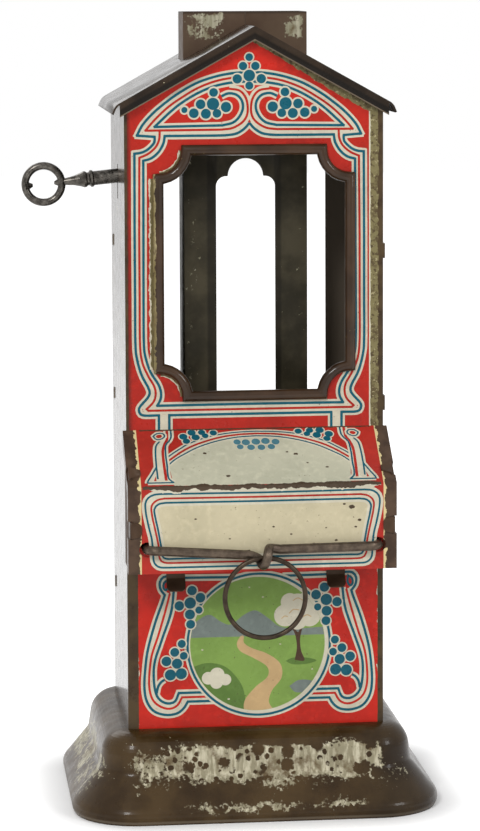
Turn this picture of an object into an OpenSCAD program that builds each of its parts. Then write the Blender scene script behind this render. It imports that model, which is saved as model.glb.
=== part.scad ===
// Tinplate toy chocolate dispenser and money box.
// Frame: +X to the right, +Y to the back, +Z up, origin under the middle of the tower at the floor.

/* [Tower] */
// Thickness of the tinplate
sheet_t = 0.6; // [0.5:0.05:0.7]
// Width of the tower
tower_w = 80; // [76:0.5:88]
// Height of the side walls above the plinth
wall_h = 194.7; // [188:0.1:214]
// Rise of the gable above the side walls
gable_h = 22.4; // [18:0.1:26]
// Distance from the tower's front face to the tablet column
column_setback = 24; // [22:0.1:28]

/* [Plinth] */
// Height of the plinth
base_h = 26.2; // [23:0.1:28]
// Overhang of the plinth past the tower
base_out = 17.5; // [16.5:0.1:20]
// Wall of the plinth
base_t = 0.8; // [0.6:0.1:1]
// Radius of the shoulder under the tower
crown_r = 7.6; // [7:0.1:8.5]
// Height of the plinth's upright side below the shoulder
crown_drop = 4.6; // [3:0.1:5]
// Radius of the hollow below the shoulder
cove_r = 3.6; // [3:0.1:4.4]
// Radius of the rolled bottom edge
roll_r = 4; // [3.6:0.1:4.4]
// Height of the rolled edge's centre
roll_z = 2.4; // [2:0.1:2.6]
// Plan radius of the plinth's corners where it meets the tower
corner_r = 3; // [2:0.1:5]

/* [Window] */
// Width of the window, between the middles of its moulding
window_w = 59.3; // [52:0.1:62]
// Height of the window, between the middles of its moulding
window_h = 75.9; // [68:0.1:80]
// Height of the window's middle above the plinth
window_z = 141.9; // [140:0.1:146]
// Radius of the scooped corners
scoop_r = 8.7; // [7:0.1:10]
// Width of the half-round moulding
moulding_w = 3.4; // [2.6:0.1:4]
// Height of the moulding
moulding_h = 2; // [1.5:0.1:2.4]

/* [Roof] */
// Overhang of the roof in front of and behind the tower
roof_out = 3; // [2.5:0.1:4]
// Length of each eave past the wall, along the slope, before it curls
eave_l = 1.6; // [1:0.1:3]
// Inner radius of the curled eave
curl_r = 3; // [2:0.1:4]
// Angle of the curled eave
curl_a = 38; // [25:1:50]
// Straight end of the eave after the curl
curl_tail = 1.6; // [1:0.1:2.4]
// Depth of the turned-down edges
verge_d = 3.7; // [3:0.1:5]
// Height of the column above the inside of the ridge
column_rise = 4.7; // [4:0.1:8]

/* [Tablets and pusher] */
// Width of a tablet
tablet_w = 37; // [36:0.5:42]
// Depth of a tablet
tablet_d = 14.2; // [13:0.1:16]
// Thickness of a tablet
tablet_t = 6; // [5:0.1:6.5]
// Room round a tablet in the column
tablet_slack = 0.4; // [0.3:0.05:0.6]
// Height of the stage that the tablets lie on, above the plinth
stage_h = 62.5; // [60:0.1:65]
// Width of the column's front slot
slot_w = 18.7; // [16:0.1:22]
// Width of the column's back slot
back_slot_w = 25; // [23:0.1:28]
// Height of the slot's arched top above the plinth
slot_top = 175.8; // [170:0.1:182]
// Radius of the arched top
arch_r = 5.6; // [4.5:0.1:6.2]
// Width of the seam between the column's front edges
seam_w = 0.35; // [0.2:0.05:0.6]

/* [Pull wire and ring] */
// Diameter of the pull wire
wire_d = 2.9; // [2.5:0.1:3.1]
// Distance from the tower's side to the middle of a wire leg
leg_inset = 4.6; // [4.4:0.1:5.4]
// Gap between the wire's front bar and the hood
bar_gap = 1; // [0.9:0.1:2]
// Bend radius of the wire at its corners
bend_r = 3.2; // [2.5:0.1:4]
// Outside diameter of the ring
ring_d = 26; // [22:0.5:30]
// Diameter of the ring's wire
ring_wire_d = 1.5; // [1.2:0.1:1.7]

/* [Hood and chute] */
// Projection of the hood
hood_out = 20; // [18:0.1:24]
// Height of the hood's lower edge below the stage
hood_drop = 9.9; // [9:0.1:12]
// Height of the hood's fold above the stage
hood_fold = 16.6; // [15:0.1:19]
// Height of the hood's upper edge above the stage
hood_top = 31.2; // [28:0.1:34]
// Depth of the hood's side flanges
hood_flange = 4; // [3:0.1:5]
// Fall of the chute from the stage to the outlet's sill
chute_fall = 13; // [12:0.1:15]
// Distance between the two tongues
tongue_gap = 50; // [46:0.5:51]
// Width of a tongue
tongue_w = 5.8; // [5:0.1:6.4]
// Depth to which a tongue hangs below the sill
tongue_drop = 2.4; // [2:0.1:5]
// Length of a tongue's bent end
tongue_l = 4.6; // [4:0.1:7]

/* [Key and lock] */
// Height of the keyhole below the eaves
key_drop = 24.2; // [24:0.1:28]
// Angle at which the key hangs
key_droop = 6; // [4:0.5:7]
// Diameter of the key's barrel
key_d = 4.5; // [4:0.1:5]
// Length of the barrel outside the wall
key_barrel = 7.6; // [6:0.1:9]
// Outside diameter of the key's bow
bow_d = 13.9; // [12:0.1:16]
// Thickness of the bow
bow_wire = 2.4; // [2:0.1:2.8]
// Reach of the key's bit from the barrel's axis
bit_reach = 7; // [6.5:0.1:7.2]
// Diameter of the lock's pin
pin_d = 2; // [1.6:0.1:2.2]
// Lift of the bolt
bolt_lift = 6; // [5:0.1:6.5]

/* [Door and coin slot] */
// Width of the rear frame's stiles
stile_w = 10; // [9:0.1:12]
// Length of a hinge
hinge_l = 20; // [16:0.5:26]
// Width of a hinge leaf
leaf_w = 9; // [7:0.5:10]
// Diameter of the hinge barrels
hinge_d = 3; // [2.8:0.1:3.4]
// Diameter of the hinge pins
hinge_pin_d = 1.6; // [1.4:0.1:1.7]
// Length of the coin slot
coin_slot_l = 30; // [26:0.5:32]
// Height of the coin slot
coin_slot_h = 3; // [2.4:0.1:3.6]
// How far the coin guide stands off the wall
guide_out = 5.4; // [4.8:0.1:6]

/* [Hidden] */
$fn = 64;

// Clearances
gap = 0.3;            // between pieces that pass each other
hair = 0.2;           // between thin pieces that nearly touch
run_fit = 0.05;       // radial, round pins that turn
cut = 1;              // how far a cutting shape runs past a face

// Column and mechanism along Y
col_w = tablet_w + 2 * tablet_slack + 2 * sheet_t;
col_d = tablet_d + 2 * tablet_slack + 2 * sheet_t;
stroke = tablet_d + 1.2;
yoke_t = 0.8;
rivet_h = 0.6;
tower_d = column_setback + col_d + hair + stroke + yoke_t + rivet_h + hair + sheet_t;
half_w = tower_w / 2;
front_y = -tower_d / 2;
back_y = tower_d / 2;
inner_front_y = front_y + sheet_t;
inner_back_y = back_y - sheet_t;
wall_x = half_w - sheet_t;
col_y = front_y + column_setback;
col_back_y = col_y + col_d;
yoke_y = col_back_y + hair + stroke;
yoke_back_y = yoke_y + yoke_t;
pusher_y = col_back_y - sheet_t + 0.1;

// Heights
deck_z = base_h;
eave_z = deck_z + wall_h;
apex_z = eave_z + gable_h;
col_top_z = apex_z + column_rise;
stage_z = deck_z + stage_h;
window_mid_z = deck_z + window_z;
throat_z = stage_z + tablet_t + 1.5;
arch_z = deck_z + slot_top;
shoulder_r = 3.2;
leg_x = half_w - leg_inset;
leg_z = stage_z - sheet_t - gap - wire_d / 2 - 0.05;

// Hood, outlet and chute
hood_x = half_w + 1.1;
hood_y = front_y - hood_out;
hood_low_z = stage_z - hood_drop;
hood_fold_z = stage_z + hood_fold;
hood_top_z = stage_z + hood_top;
hood_pitch = atan2(hood_top_z - hood_fold_z, hood_out);
leg_hole_d = wire_d + 1.7;
stage_front_y = col_y - 2;
sill_z = stage_z - chute_fall;
outlet_top_z = stage_z + 3;
chute_x = (tongue_gap + tongue_w) / 2 + 0.6;
outlet_x = chute_x + gap + 0.2;
chute_pitch = atan2(chute_fall - sheet_t, stage_front_y - inner_front_y);
cheek_tab_w = 5;
cheek_tab_l = 3;

// Pull wire
bar_y = hood_y - bar_gap - wire_d / 2;
eye_r = wire_d / 2 + ring_wire_d / 2 + 0.35;
eye_y = bar_y - eye_r + 0.05;
eye_z = leg_z - 2.1;
ring_r = (ring_d - ring_wire_d) / 2;
ring_top_z = eye_z - (eye_r - wire_d / 2) + ring_wire_d / 2 + run_fit;

// Lock
key_y = 0;
key_z = eave_z - key_drop;
bit_w = 1.8;
bit_out = 1.9;
bit_in = 3.6;
lock_x = -wall_x + 4.4;
lock_plate_t = 0.8;
lock_half = 12;
lock_fore = 8;
bolt_t = 1;
bolt_x = -wall_x + 1.7;
bolt_jog = 2.2;
bolt_w = 4;
bolt_y = key_y + bit_reach - 2;
notch_slack = 0.6;
finger_d = 3.5;
finger_y = inner_back_y - 3.4 - finger_d;
keeper_z = key_z + 10.3;
finger_top_z = keeper_z - 0.8;

// Rear door and hinges
door_y = back_y + 0.25;
rear_open_x = half_w - stile_w;
rear_open_low_z = deck_z + 2.5;
rear_open_top_z = eave_z - 13.2;
door_low_z = deck_z + 2;
door_top_z = rear_open_top_z + 1.5;
sight_low_z = hood_top_z + 0.8;
sight_top_z = rear_open_top_z - 3;
hinge_x = half_w + 0.3 + sheet_t;
hinge_y = door_y + sheet_t + 0.75;
hinge_zs = [deck_z + 11.5, eave_z - 37.2];
door_x = hinge_x - hinge_d / 2 - 0.5;
knuckle_l = (hinge_l - 2 * gap) / 3;
tab_h = 4.6;
tab_zs = [stage_z - 25.6, hood_top_z + 5, eave_z - 46.2];
rear_tab_y = inner_back_y - 7.4;
front_tab_zs = [eave_z - 46.5, hood_top_z + 7.1];

// Coin slot
coin_y = -4;
coin_z = stage_z - 21;

// Points along an arc
function arc_pts(c, r, a0, a1, n = 8) =
    [for (i = [0 : n]) let (a = a0 + (a1 - a0) * i / n) [c.x + r * cos(a), c.y + r * sin(a)]];
function flip(v) = [for (i = [len(v) - 1 : -1 : 0]) v[i]];
function shift(v, d) = [for (p = v) [p.x + d.x, p.y + d.y]];
function mirror_x(v) = [for (p = v) [-p.x, p.y]];

// A plate across the tower: the drawing's X and Y become X and Z
module plate_xz(y, t = sheet_t) translate([0, y + t, 0]) rotate([90, 0, 0]) linear_extrude(t) children();
// A plate along the tower's side: the drawing's X and Y become Y and Z
module plate_yz(x, t = sheet_t) translate([x, 0, 0]) rotate([90, 0, 90]) linear_extrude(t) children();
module slot_2d(l, h) {
    square([l - h, h], center = true);
    for (s = [-1, 1]) translate([s * (l - h) / 2, 0]) circle(d = h);
}
module box_2d(low, high) translate(low) square(high - low);
module box(low, high) translate(low) cube(high - low);
// Frame of the key: X runs outward along its axis, Z hangs down
module key_frame() translate([-half_w, key_y, key_z]) rotate([0, 180 - key_droop, 0]) children();

// Plinth section, measured out from the core rectangle of its plan
crown_end = 8;
crown_c = [0.8 + corner_r, base_h - crown_r];
cove_c = crown_c + (crown_r + cove_r) * [cos(crown_end), sin(crown_end)]
    + crown_drop * [sin(crown_end), -cos(crown_end)];
roll_c = [corner_r + base_out - roll_r, roll_z];
skirt_dir = roll_c - cove_c;
skirt_a = atan2(skirt_dir.y, skirt_dir.x) + asin((cove_r + roll_r) / norm(skirt_dir)) + 90;
function plinth_side(t) = concat(
    arc_pts(crown_c, crown_r - t, 90, crown_end, 10),
    arc_pts(cove_c, cove_r + t, 180 + crown_end, 180 + skirt_a, 4),
    arc_pts(roll_c, roll_r - t, skirt_a, -asin(roll_z / (roll_r - t)), 8));
core_x = half_w - corner_r;
core_y = tower_d / 2 - corner_r;
floor_out = roll_c.x + sqrt(pow(roll_r - base_t, 2) - roll_z * roll_z) - hair;

module plinth_2d() polygon(concat([[0, base_h]], plinth_side(0), flip(plinth_side(base_t)),
    [[0, base_h - base_t]]));

module base_plinth() color("#4a3a2e") {
    box([-core_x, -core_y, base_h - base_t], [core_x, core_y, base_h]);
    for (k = [0 : 3]) rotate(90 * k) {
        out = k % 2 == 0 ? core_x : core_y;
        half_l = k % 2 == 0 ? core_y : core_x;
        translate([out, half_l, 0]) {
            rotate([90, 0, 0]) linear_extrude(2 * half_l) plinth_2d();
            rotate_extrude(angle = 90) plinth_2d();
        }
    }
}

module base_floor() color("#6b6455") linear_extrude(base_t) {
    square([2 * (core_x + floor_out), 2 * core_y], center = true);
    square([2 * core_x, 2 * (core_y + floor_out)], center = true);
    for (x = [-core_x, core_x], y = [-core_y, core_y]) translate([x, y]) circle(floor_out);
}

module gable_2d() polygon([[-half_w, deck_z], [half_w, deck_z], [half_w, eave_z], [0, apex_z],
    [-half_w, eave_z]]);

// Window outline with scooped corners, grown or shrunk from the moulding's middle line
module scooped_2d(grow) translate([0, window_mid_z]) difference() {
    square([window_w + 2 * grow, window_h + 2 * grow], center = true);
    for (x = [-1, 1], y = [-1, 1]) translate([x * window_w, y * window_h] / 2) circle(scoop_r - grow);
}

module front_panel() color("#c4302a") {
    plate_xz(front_y) difference() {
        gable_2d();
        scooped_2d(0.4 - moulding_w / 2);
        box_2d([-outlet_x, sill_z], [outlet_x, outlet_top_z]);
        for (x = [-leg_x, leg_x]) translate([x, leg_z]) circle(d = leg_hole_d);
    }
    // Tabs bent round the right wall
    for (z = front_tab_zs) box([half_w, front_y, z - tab_h / 2], [half_w + sheet_t, front_y + 4, z + tab_h / 2]);
}

// Half-round moulding swept round the scooped window and mitred at its corners
scoop_n = 8;
round_n = 8;
window_path = [for (k = [0 : 3], j = [0 : scoop_n])
    let (c = [k < 2 ? 1 : -1, k == 1 || k == 2 ? 1 : -1], a = 180 + 90 * k - 90 * j / scoop_n)
    [c.x * window_w / 2 + scoop_r * cos(a), c.y * window_h / 2 + scoop_r * sin(a)]];
function side_of(p, q) = let (v = (q - p) / norm(q - p)) [-v.y, v.x];
function mitre(path, i) = let (n = len(path),
    a = side_of(path[(i + n - 1) % n], path[i]), b = side_of(path[i], path[(i + 1) % n]))
    (a + b) / (1 + a * b);

module window_frame() color("#4a3a2e") {
    count = len(window_path);
    row = round_n + 1;
    points = [for (i = [0 : count - 1], j = [0 : round_n])
        let (a = 180 * j / round_n, m = mitre(window_path, i) * moulding_w / 2 * cos(a))
        [window_path[i].x + m.x, front_y - moulding_h * sin(a), window_mid_z + window_path[i].y + m.y]];
    quads = [for (i = [0 : count - 1], j = [0 : round_n])
        [i * row + j, i * row + (j + 1) % row,
        (i + 1) % count * row + (j + 1) % row, (i + 1) % count * row + j]];
    triangles = [for (q = quads) each [[q[0], q[1], q[2]], [q[0], q[2], q[3]]]];
    polyhedron(points, triangles);
}

module side_2d() box_2d([inner_front_y, deck_z], [inner_back_y, eave_z]);
// Slots for the rear frame's bent tabs
module tab_slots_2d() for (z = tab_zs) translate([rear_tab_y, z]) rotate(90) slot_2d(tab_h, 1.8);

module left_wall() color("#4a3a2e") plate_yz(-half_w) difference() {
    side_2d();
    tab_slots_2d();
    translate([key_y, key_z]) {
        circle(d = key_d + 0.7);
        box_2d([-bit_w / 2 - gap, -bit_reach - gap], [bit_w / 2 + gap, key_d / 2 + 1.4]);
    }
}

module right_wall() color("#4a3a2e") plate_yz(wall_x) difference() {
    side_2d();
    tab_slots_2d();
    translate([coin_y, coin_z]) slot_2d(coin_slot_l, coin_slot_h);
}

module rear_frame() color("#4a3a2e") {
    plate_xz(inner_back_y) difference() {
        gable_2d();
        box_2d([-rear_open_x, rear_open_low_z], [rear_open_x, rear_open_top_z]);
        box_2d([-wall_x + 1, keeper_z - 4.6], [0, keeper_z + 1.8]);
    }
    // Tabs that run along the walls and hook out through their slots
    for (s = [-1, 1], z = tab_zs) scale([s, 1, 1]) translate([0, 0, z]) {
        box([wall_x - sheet_t, rear_tab_y - 0.6, -tab_h / 2 + gap], [wall_x, inner_back_y, tab_h / 2 - gap]);
        box([wall_x - sheet_t, rear_tab_y - 0.6, -tab_h / 2 + 2 * gap],
            [half_w + gap, rear_tab_y + 0.6, tab_h / 2 - 2 * gap]);
    }
}

// Roof section, folded at the ridge and curled down at the eaves
roof_pitch = atan2(gable_h, half_w);
slope_end = [half_w, eave_z] + eave_l * [cos(roof_pitch), -sin(roof_pitch)];
curl_c = slope_end - curl_r * [sin(roof_pitch), cos(roof_pitch)];
curl_dir = -roof_pitch - curl_a;
function roof_side(t) = let (arc = arc_pts(curl_c, curl_r + t, 90 - roof_pitch, 90 + curl_dir, 6))
    concat(arc, [arc[6] + curl_tail * [cos(curl_dir), sin(curl_dir)]]);
function ridge_pts(t) = arc_pts([0, apex_z], t, 90, 90 - roof_pitch, 3);

module roof_2d() {
    half_out = concat(ridge_pts(sheet_t), roof_side(sheet_t));
    half_in = concat([[0, apex_z]], roof_side(0));
    polygon(concat(half_out, flip(half_in)));
    polygon(concat(mirror_x(half_out), flip(mirror_x(half_in))));
}
module verge_2d() {
    edge = [mirror_x([slope_end])[0], [0, apex_z], slope_end];
    polygon(concat(shift(edge, [0, sheet_t / 2]), flip(shift(edge, [0, -verge_d]))));
}

module roof() color("#4a3a2e") difference() {
    union() {
        plate_xz(front_y - roof_out, tower_d + 2 * roof_out) roof_2d();
        for (y = [front_y - roof_out, back_y + roof_out - sheet_t]) plate_xz(y) verge_2d();
    }
    box([-col_w / 2 - hair, col_y - hair, eave_z], [col_w / 2 + hair, col_back_y + hair, col_top_z]);
}

// Slot of the column: straight sides, round shoulders and a round arch on top
module arch_slot_2d() {
    spring_z = arch_z - arch_r;
    shoulder_z = spring_z - shoulder_r;
    box_2d([-slot_w / 2, stage_z - cut], [slot_w / 2, shoulder_z]);
    box_2d([-slot_w / 2 + shoulder_r, shoulder_z - cut], [slot_w / 2 - shoulder_r, spring_z]);
    for (s = [-1, 1]) translate([s * (slot_w / 2 - shoulder_r), shoulder_z]) circle(shoulder_r);
    translate([0, spring_z]) circle(arch_r);
}

module chocolate_column() color("#54473a") difference() {
    box([-col_w / 2, col_y, stage_z], [col_w / 2, col_back_y, col_top_z]);
    box([-col_w / 2 + sheet_t, col_y + sheet_t, stage_z - cut],
        [col_w / 2 - sheet_t, col_back_y - sheet_t, col_top_z + cut]);
    // Throat for the lowest tablet and the pusher
    box([-col_w / 2 + sheet_t, col_y - cut, stage_z - cut], [col_w / 2 - sheet_t, col_back_y + cut, throat_z]);
    plate_xz(col_y - cut, sheet_t + 2 * cut) {
        arch_slot_2d();
        // The seam is shut below this and gapes above
        box_2d([-seam_w / 2, arch_z + arch_r], [seam_w / 2, col_top_z + cut]);
    }
    plate_xz(col_back_y - sheet_t - cut, sheet_t + 2 * cut)
        box_2d([-back_slot_w / 2, stage_z - cut], [back_slot_w / 2, arch_z + 2]);
}

lug_x = wire_d / 2 + 0.75;
module stage_plate() color("#6b6455") translate([0, 0, stage_z - sheet_t]) linear_extrude(sheet_t) difference() {
    box_2d([-wall_x, stage_front_y], [wall_x, inner_back_y - 1]);
    for (x = [-leg_x, leg_x])
        box_2d([x - lug_x - gap, col_back_y - 2], [x + lug_x + gap, inner_back_y]);
}

module chute_plate() color("#4a3a2e") {
    rise = sheet_t / cos(chute_pitch);
    knee_z = sill_z - tongue_drop;
    lip_y = front_y - 0.1;
    under = [[stage_front_y, stage_z - rise], [inner_front_y, sill_z], [front_y, sill_z]];
    over = [[front_y, sill_z + sheet_t], [inner_front_y - (rise - sheet_t) / tan(chute_pitch), sill_z + sheet_t],
        [stage_front_y, stage_z]];
    plate_yz(-chute_x, 2 * chute_x) polygon(concat(under, over));
    // Upturned sides
    for (x = [-chute_x, chute_x - sheet_t]) plate_yz(x) polygon(concat(
        [[stage_front_y, stage_z - rise], [inner_front_y, sill_z]],
        shift([[inner_front_y, sill_z], [stage_front_y, stage_z - rise]], [0, 5])));
    // Tongues bent down over the sill and out
    for (x = [-tongue_gap / 2, tongue_gap / 2]) translate([x, 0, 0]) {
        box([-tongue_w / 2, lip_y - sheet_t, sill_z], [tongue_w / 2, inner_front_y, sill_z + sheet_t]);
        box([-tongue_w / 2, lip_y - sheet_t, knee_z], [tongue_w / 2, lip_y, sill_z + sheet_t]);
        translate([0, lip_y, knee_z]) rotate([-40, 0, 0]) plate_xz(-sheet_t)
            hull() {
                box_2d([-tongue_w / 2, -1], [tongue_w / 2, 0]);
                for (s = [-1, 1]) translate([s * (tongue_w / 2 - 1.5), 1.5 - tongue_l]) circle(1.5);
            }
    }
}

// Hood section: the sheet's outer line and the same line t further in
fold_k = (1 - sin(hood_pitch)) / cos(hood_pitch);
function hood_line(t) = [[front_y, hood_top_z - t / cos(hood_pitch)],
    [hood_y + t, hood_fold_z - t * fold_k], [hood_y + t, hood_low_z]];
module hood_band_2d(d) polygon(concat(hood_line(0), flip(hood_line(d))));
// Frame on the hood's slope: Y runs up the slope from the fold, Z stands off the sheet
module slope_frame() translate([0, hood_y, hood_fold_z]) rotate([hood_pitch, 0, 0]) children();
tab_z = stage_z + 3.6;
slope_tab_y = 6;

module hood_cover() color("#c4302a") difference() {
    union() {
        plate_yz(-hood_x, 2 * hood_x) hood_band_2d(sheet_t);
        for (x = [-hood_x, hood_x - sheet_t]) plate_yz(x) hood_band_2d(hood_flange);
    }
    for (x = [-leg_x, leg_x]) translate([x, hood_y - cut, leg_z]) rotate([-90, 0, 0]) cylinder(h = 3, d = leg_hole_d);
    // Notches for the cheeks' tabs
    for (s = [-1, 1]) scale([s, 1, 1]) {
        notch = cheek_tab_w / 2 + hair;
        box([hood_x - 2 * sheet_t - hair, hood_y - cut, tab_z - notch],
            [hood_x + cut, hood_y + hood_flange + cut, tab_z + notch]);
        slope_frame() box([hood_x - 2 * sheet_t - hair, slope_tab_y - notch, -sheet_t - cut],
            [hood_x + cut, slope_tab_y + notch, cut]);
    }
}

// Right cheek; the left one is its mirror image
module cheek() {
    x = hood_x - 2 * sheet_t;
    tab = cheek_tab_w / 2;
    plate_yz(x) polygon(concat(hood_line(sheet_t), [[front_y, hood_low_z]]));
    box([x, hood_y - sheet_t, tab_z - tab], [x + sheet_t, hood_y + 2 * sheet_t, tab_z + tab]);
    plate_xz(hood_y - sheet_t) hull() {
        box_2d([x, tab_z - tab], [x + sheet_t, tab_z + tab]);
        for (s = [-1, 1]) translate([x - cheek_tab_l + 1.5, tab_z + s * (tab - 1.8)]) circle(1.5);
    }
    slope_frame() {
        box([x, slope_tab_y - tab, -2 * sheet_t], [x + sheet_t, slope_tab_y + tab, sheet_t]);
        linear_extrude(sheet_t) polygon([[x + sheet_t, slope_tab_y - tab], [x + sheet_t, slope_tab_y + tab],
            [x - cheek_tab_l, slope_tab_y + 1], [x - cheek_tab_l, slope_tab_y - 1]]);
    }
}
module hood_cheek_left() color("#4a3a2e") scale([-1, 1, 1]) cheek();
module hood_cheek_right() color("#4a3a2e") cheek();

guide_top = coin_z + 3 * coin_slot_h;
guide_bend = coin_z + 1.5 * coin_slot_h - sheet_t - 0.1;
guide_low = coin_z - 2 * coin_slot_h;
module coin_guide() color("#6b6455") translate([0, coin_y + coin_slot_l / 2 + 1, 0]) rotate([90, 0, 0])
    linear_extrude(coin_slot_l + 2) polygon([[wall_x, guide_top], [wall_x - sheet_t, guide_top],
        [wall_x - sheet_t, guide_bend + hair], [wall_x - guide_out, guide_low],
        [wall_x - guide_out + sheet_t, guide_low - 2 * hair], [wall_x, guide_bend - hair]]);

module lock_plate() color("#8c8878") difference() {
    union() {
        plate_yz(lock_x, lock_plate_t) box_2d([key_y - lock_fore, key_z - lock_half], [key_y + lock_half, key_z + lock_half]);
        box([-wall_x, key_y - lock_fore, key_z - lock_half], [lock_x, key_y - lock_fore + sheet_t, key_z + lock_half]);
        box([-wall_x, key_y - lock_fore, key_z - lock_half], [lock_x, key_y + lock_half, key_z - lock_half + sheet_t]);
        // Ears that guide the bolt
        box([bolt_x - 0.5, bolt_y - hair - 0.6, key_z - 10], [lock_x, bolt_y - hair, key_z - 8.2]);
        box([bolt_x - 0.5, bolt_y - hair - 0.6, key_z + 8.2], [lock_x, bolt_y - hair, key_z + 10]);
        box([bolt_x - 0.5, bolt_y + bolt_w + hair, key_z - 10], [lock_x, bolt_y + bolt_w + hair + 0.6, key_z - 1]);
    }
    key_frame() rotate([0, 90, 0]) translate([0, 0, -10]) cylinder(h = 12, d = pin_d + 2 * run_fit);
}

module lock_pin() color("#8c8878") key_frame() rotate([0, 90, 0]) {
    back = (lock_x + lock_plate_t + half_w) / cos(key_droop) + gap;
    translate([0, 0, -back]) cylinder(h = back + 4, d = pin_d);
    translate([0, 0, -back - 0.8]) cylinder(h = 0.8, d = pin_d + 1.6);
}

// Turned neck of the key from the barrel to the bow: distance along the axis and radius
neck_l = 10.1;
bow_x = key_barrel + neck_l - bow_wire / 2 + bow_d / 2;
neck_pts = [[0, 0], [0, 2.2], [0.5, 2.7], [1.1, 2.7], [1.6, 2.1], [2.1, 2.1], [2.6, 2.55], [3.2, 2.6], [4.4, 2.1],
    [6.4, 1.5], [neck_l - bow_wire / 2, 1.15], [neck_l, 0.9], [neck_l, 0]];

module key() color("#77726a") key_frame() difference() {
    union() {
        rotate([0, 90, 0]) {
            translate([0, 0, -bit_in + 0.3]) cylinder(h = key_barrel + bit_in - 0.3, d = key_d);
            translate([0, 0, key_barrel - 0.1]) rotate_extrude() polygon([for (p = neck_pts) [p.y, p.x]]);
        }
        translate([bow_x, 0, 0]) rotate([90, 0, 0]) rotate_extrude() translate([bow_d / 2 - bow_wire / 2, 0])
            circle(d = bow_wire);
        // Cusps that make the bow's hole heart-shaped
        for (s = [-1, 1]) translate([bow_x + s * (bow_d - bow_wire) / 2, 0, 0]) rotate([0, -90 * s, 0])
            cylinder(h = bow_wire, d1 = 1.5 * bow_wire, d2 = 0.4 * bow_wire);
        difference() {
            box([-bit_in, -bit_w / 2, 0], [-bit_out, bit_w / 2, bit_reach]);
            box([-bit_in - cut, -bit_w, bit_reach - 3.4], [-bit_out - 0.7, bit_w, bit_reach - 2.4]);
        }
    }
    rotate([0, 90, 0]) translate([0, 0, -bit_in - cut]) cylinder(h = bit_in + cut + 5, d = pin_d + 2 * run_fit);
}

module lock_bolt() color("#8c8878") {
    reach = bit_reach + notch_slack;
    arm_low = key_z + reach - bolt_lift + 0.4;
    arm_top = arm_low + 2;
    arm_y = key_y + 13.4;
    plate_yz(bolt_x, bolt_t) difference() {
        union() {
            box_2d([bolt_y, key_z - 10.6], [bolt_y + bolt_w, key_z + 10.6]);
            box_2d([bolt_y, arm_low], [arm_y, arm_top]);
        }
        box_2d([bolt_y - cut, key_z - reach], [key_y + reach, key_z + reach - bolt_lift]);
    }
    box([bolt_x, arm_y - bolt_t, arm_low], [bolt_x + bolt_jog + bolt_t, arm_y, arm_top]);
    plate_yz(bolt_x + bolt_jog, bolt_t) {
        box_2d([arm_y - bolt_t, arm_low], [finger_y + finger_d, arm_top]);
        box_2d([finger_y, arm_low], [finger_y + finger_d, finger_top_z]);
    }
}

module lock_keeper() color("#8c8878") {
    x = bolt_x + bolt_jog + bolt_t / 2;
    difference() {
        box([x - 2, finger_y - 2, keeper_z], [x + 2, door_y, keeper_z + 0.8]);
        box([x - bolt_t / 2 - 0.5, finger_y - 0.4, keeper_z - cut],
            [x + bolt_t / 2 + 0.5, finger_y + finger_d + 0.4, keeper_z + 2]);
    }
    box([x - 2, door_y - sheet_t, keeper_z - 3.6], [x + 2, door_y, keeper_z + 0.8]);
}

module rear_door() color("#4a3a2e") plate_xz(door_y) difference() {
    box_2d([-half_w + 0.5, door_low_z], [door_x, door_top_z]);
    box_2d([-rear_open_x - 1, sight_low_z], [rear_open_x + 1, sight_top_z]);
}

// Hinge knuckles: the wall has the outer two of each hinge and the door the middle one
module knuckle(z) translate([hinge_x, hinge_y, z]) cylinder(h = knuckle_l, d = hinge_d);
module pin_bores() for (z = hinge_zs) translate([hinge_x, hinge_y, z - cut])
    cylinder(h = hinge_l + 2 * cut, d = hinge_pin_d + 2 * run_fit);

module wall_hinge_leaves() color("#8c8878") difference() {
    for (z = hinge_zs) {
        box([half_w, back_y - leaf_w, z], [half_w + sheet_t, back_y, z + hinge_l]);
        for (k = [0, 2]) {
            low = z + k * (knuckle_l + gap);
            knuckle(low);
            box([half_w, back_y - 1, low], [half_w + sheet_t, hinge_y - hinge_d / 4, low + knuckle_l]);
        }
    }
    pin_bores();
}

module door_hinge_leaves() color("#8c8878") difference() {
    leaf_y = door_y + sheet_t;
    for (z = hinge_zs) {
        low = z + knuckle_l + gap;
        box([door_x - leaf_w + 2, leaf_y, z], [door_x - gap, leaf_y + sheet_t, z + hinge_l]);
        box([door_x - 1, leaf_y, low], [hinge_x - hinge_d / 4, leaf_y + sheet_t, low + knuckle_l]);
        knuckle(low);
    }
    pin_bores();
}

module hinge_pins() color("#8c8878") for (z = hinge_zs) translate([hinge_x, hinge_y, z]) {
    translate([0, 0, -hair]) cylinder(h = hinge_l + 2 * hair, d = hinge_pin_d);
    for (end = [-hair - 0.6, hinge_l + hair]) translate([0, 0, end]) cylinder(h = 0.6, d = hinge_pin_d + 0.8);
}

// Path of the pull wire: left leg, front bar, one turn round the eye, front bar, right leg
corner_x = leg_x - bend_r;
eye_start_a = 5;
eye_turn = 315;
eye_pitch = wire_d + 0.5;
function eye_pt(t) = let (a = eye_start_a - eye_turn * (t + 1) / 2, flare = max(0, abs(t) - 0.75) / 0.25)
    [(eye_pitch / 2 * t + sign(t) * 3 * flare * flare), eye_y + eye_r * cos(a), eye_z + eye_r * sin(a)];
function bend_pts(s) = [for (p = arc_pts([0, 0], bend_r, 0, -90, 8))
    [s * (corner_x + p.x), bar_y + bend_r + p.y, leg_z]];
eye_n = 36;
wire_path = concat([[-leg_x, yoke_back_y, leg_z]], bend_pts(-1), [for (i = [0 : eye_n]) eye_pt(2 * i / eye_n - 1)],
    flip(bend_pts(1)), [[leg_x, yoke_back_y, leg_z]]);
function unit(v) = v / norm(v);
function tangent(path, i) = unit(path[min(i + 1, len(path) - 1)] - path[max(i - 1, 0)]);
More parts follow.
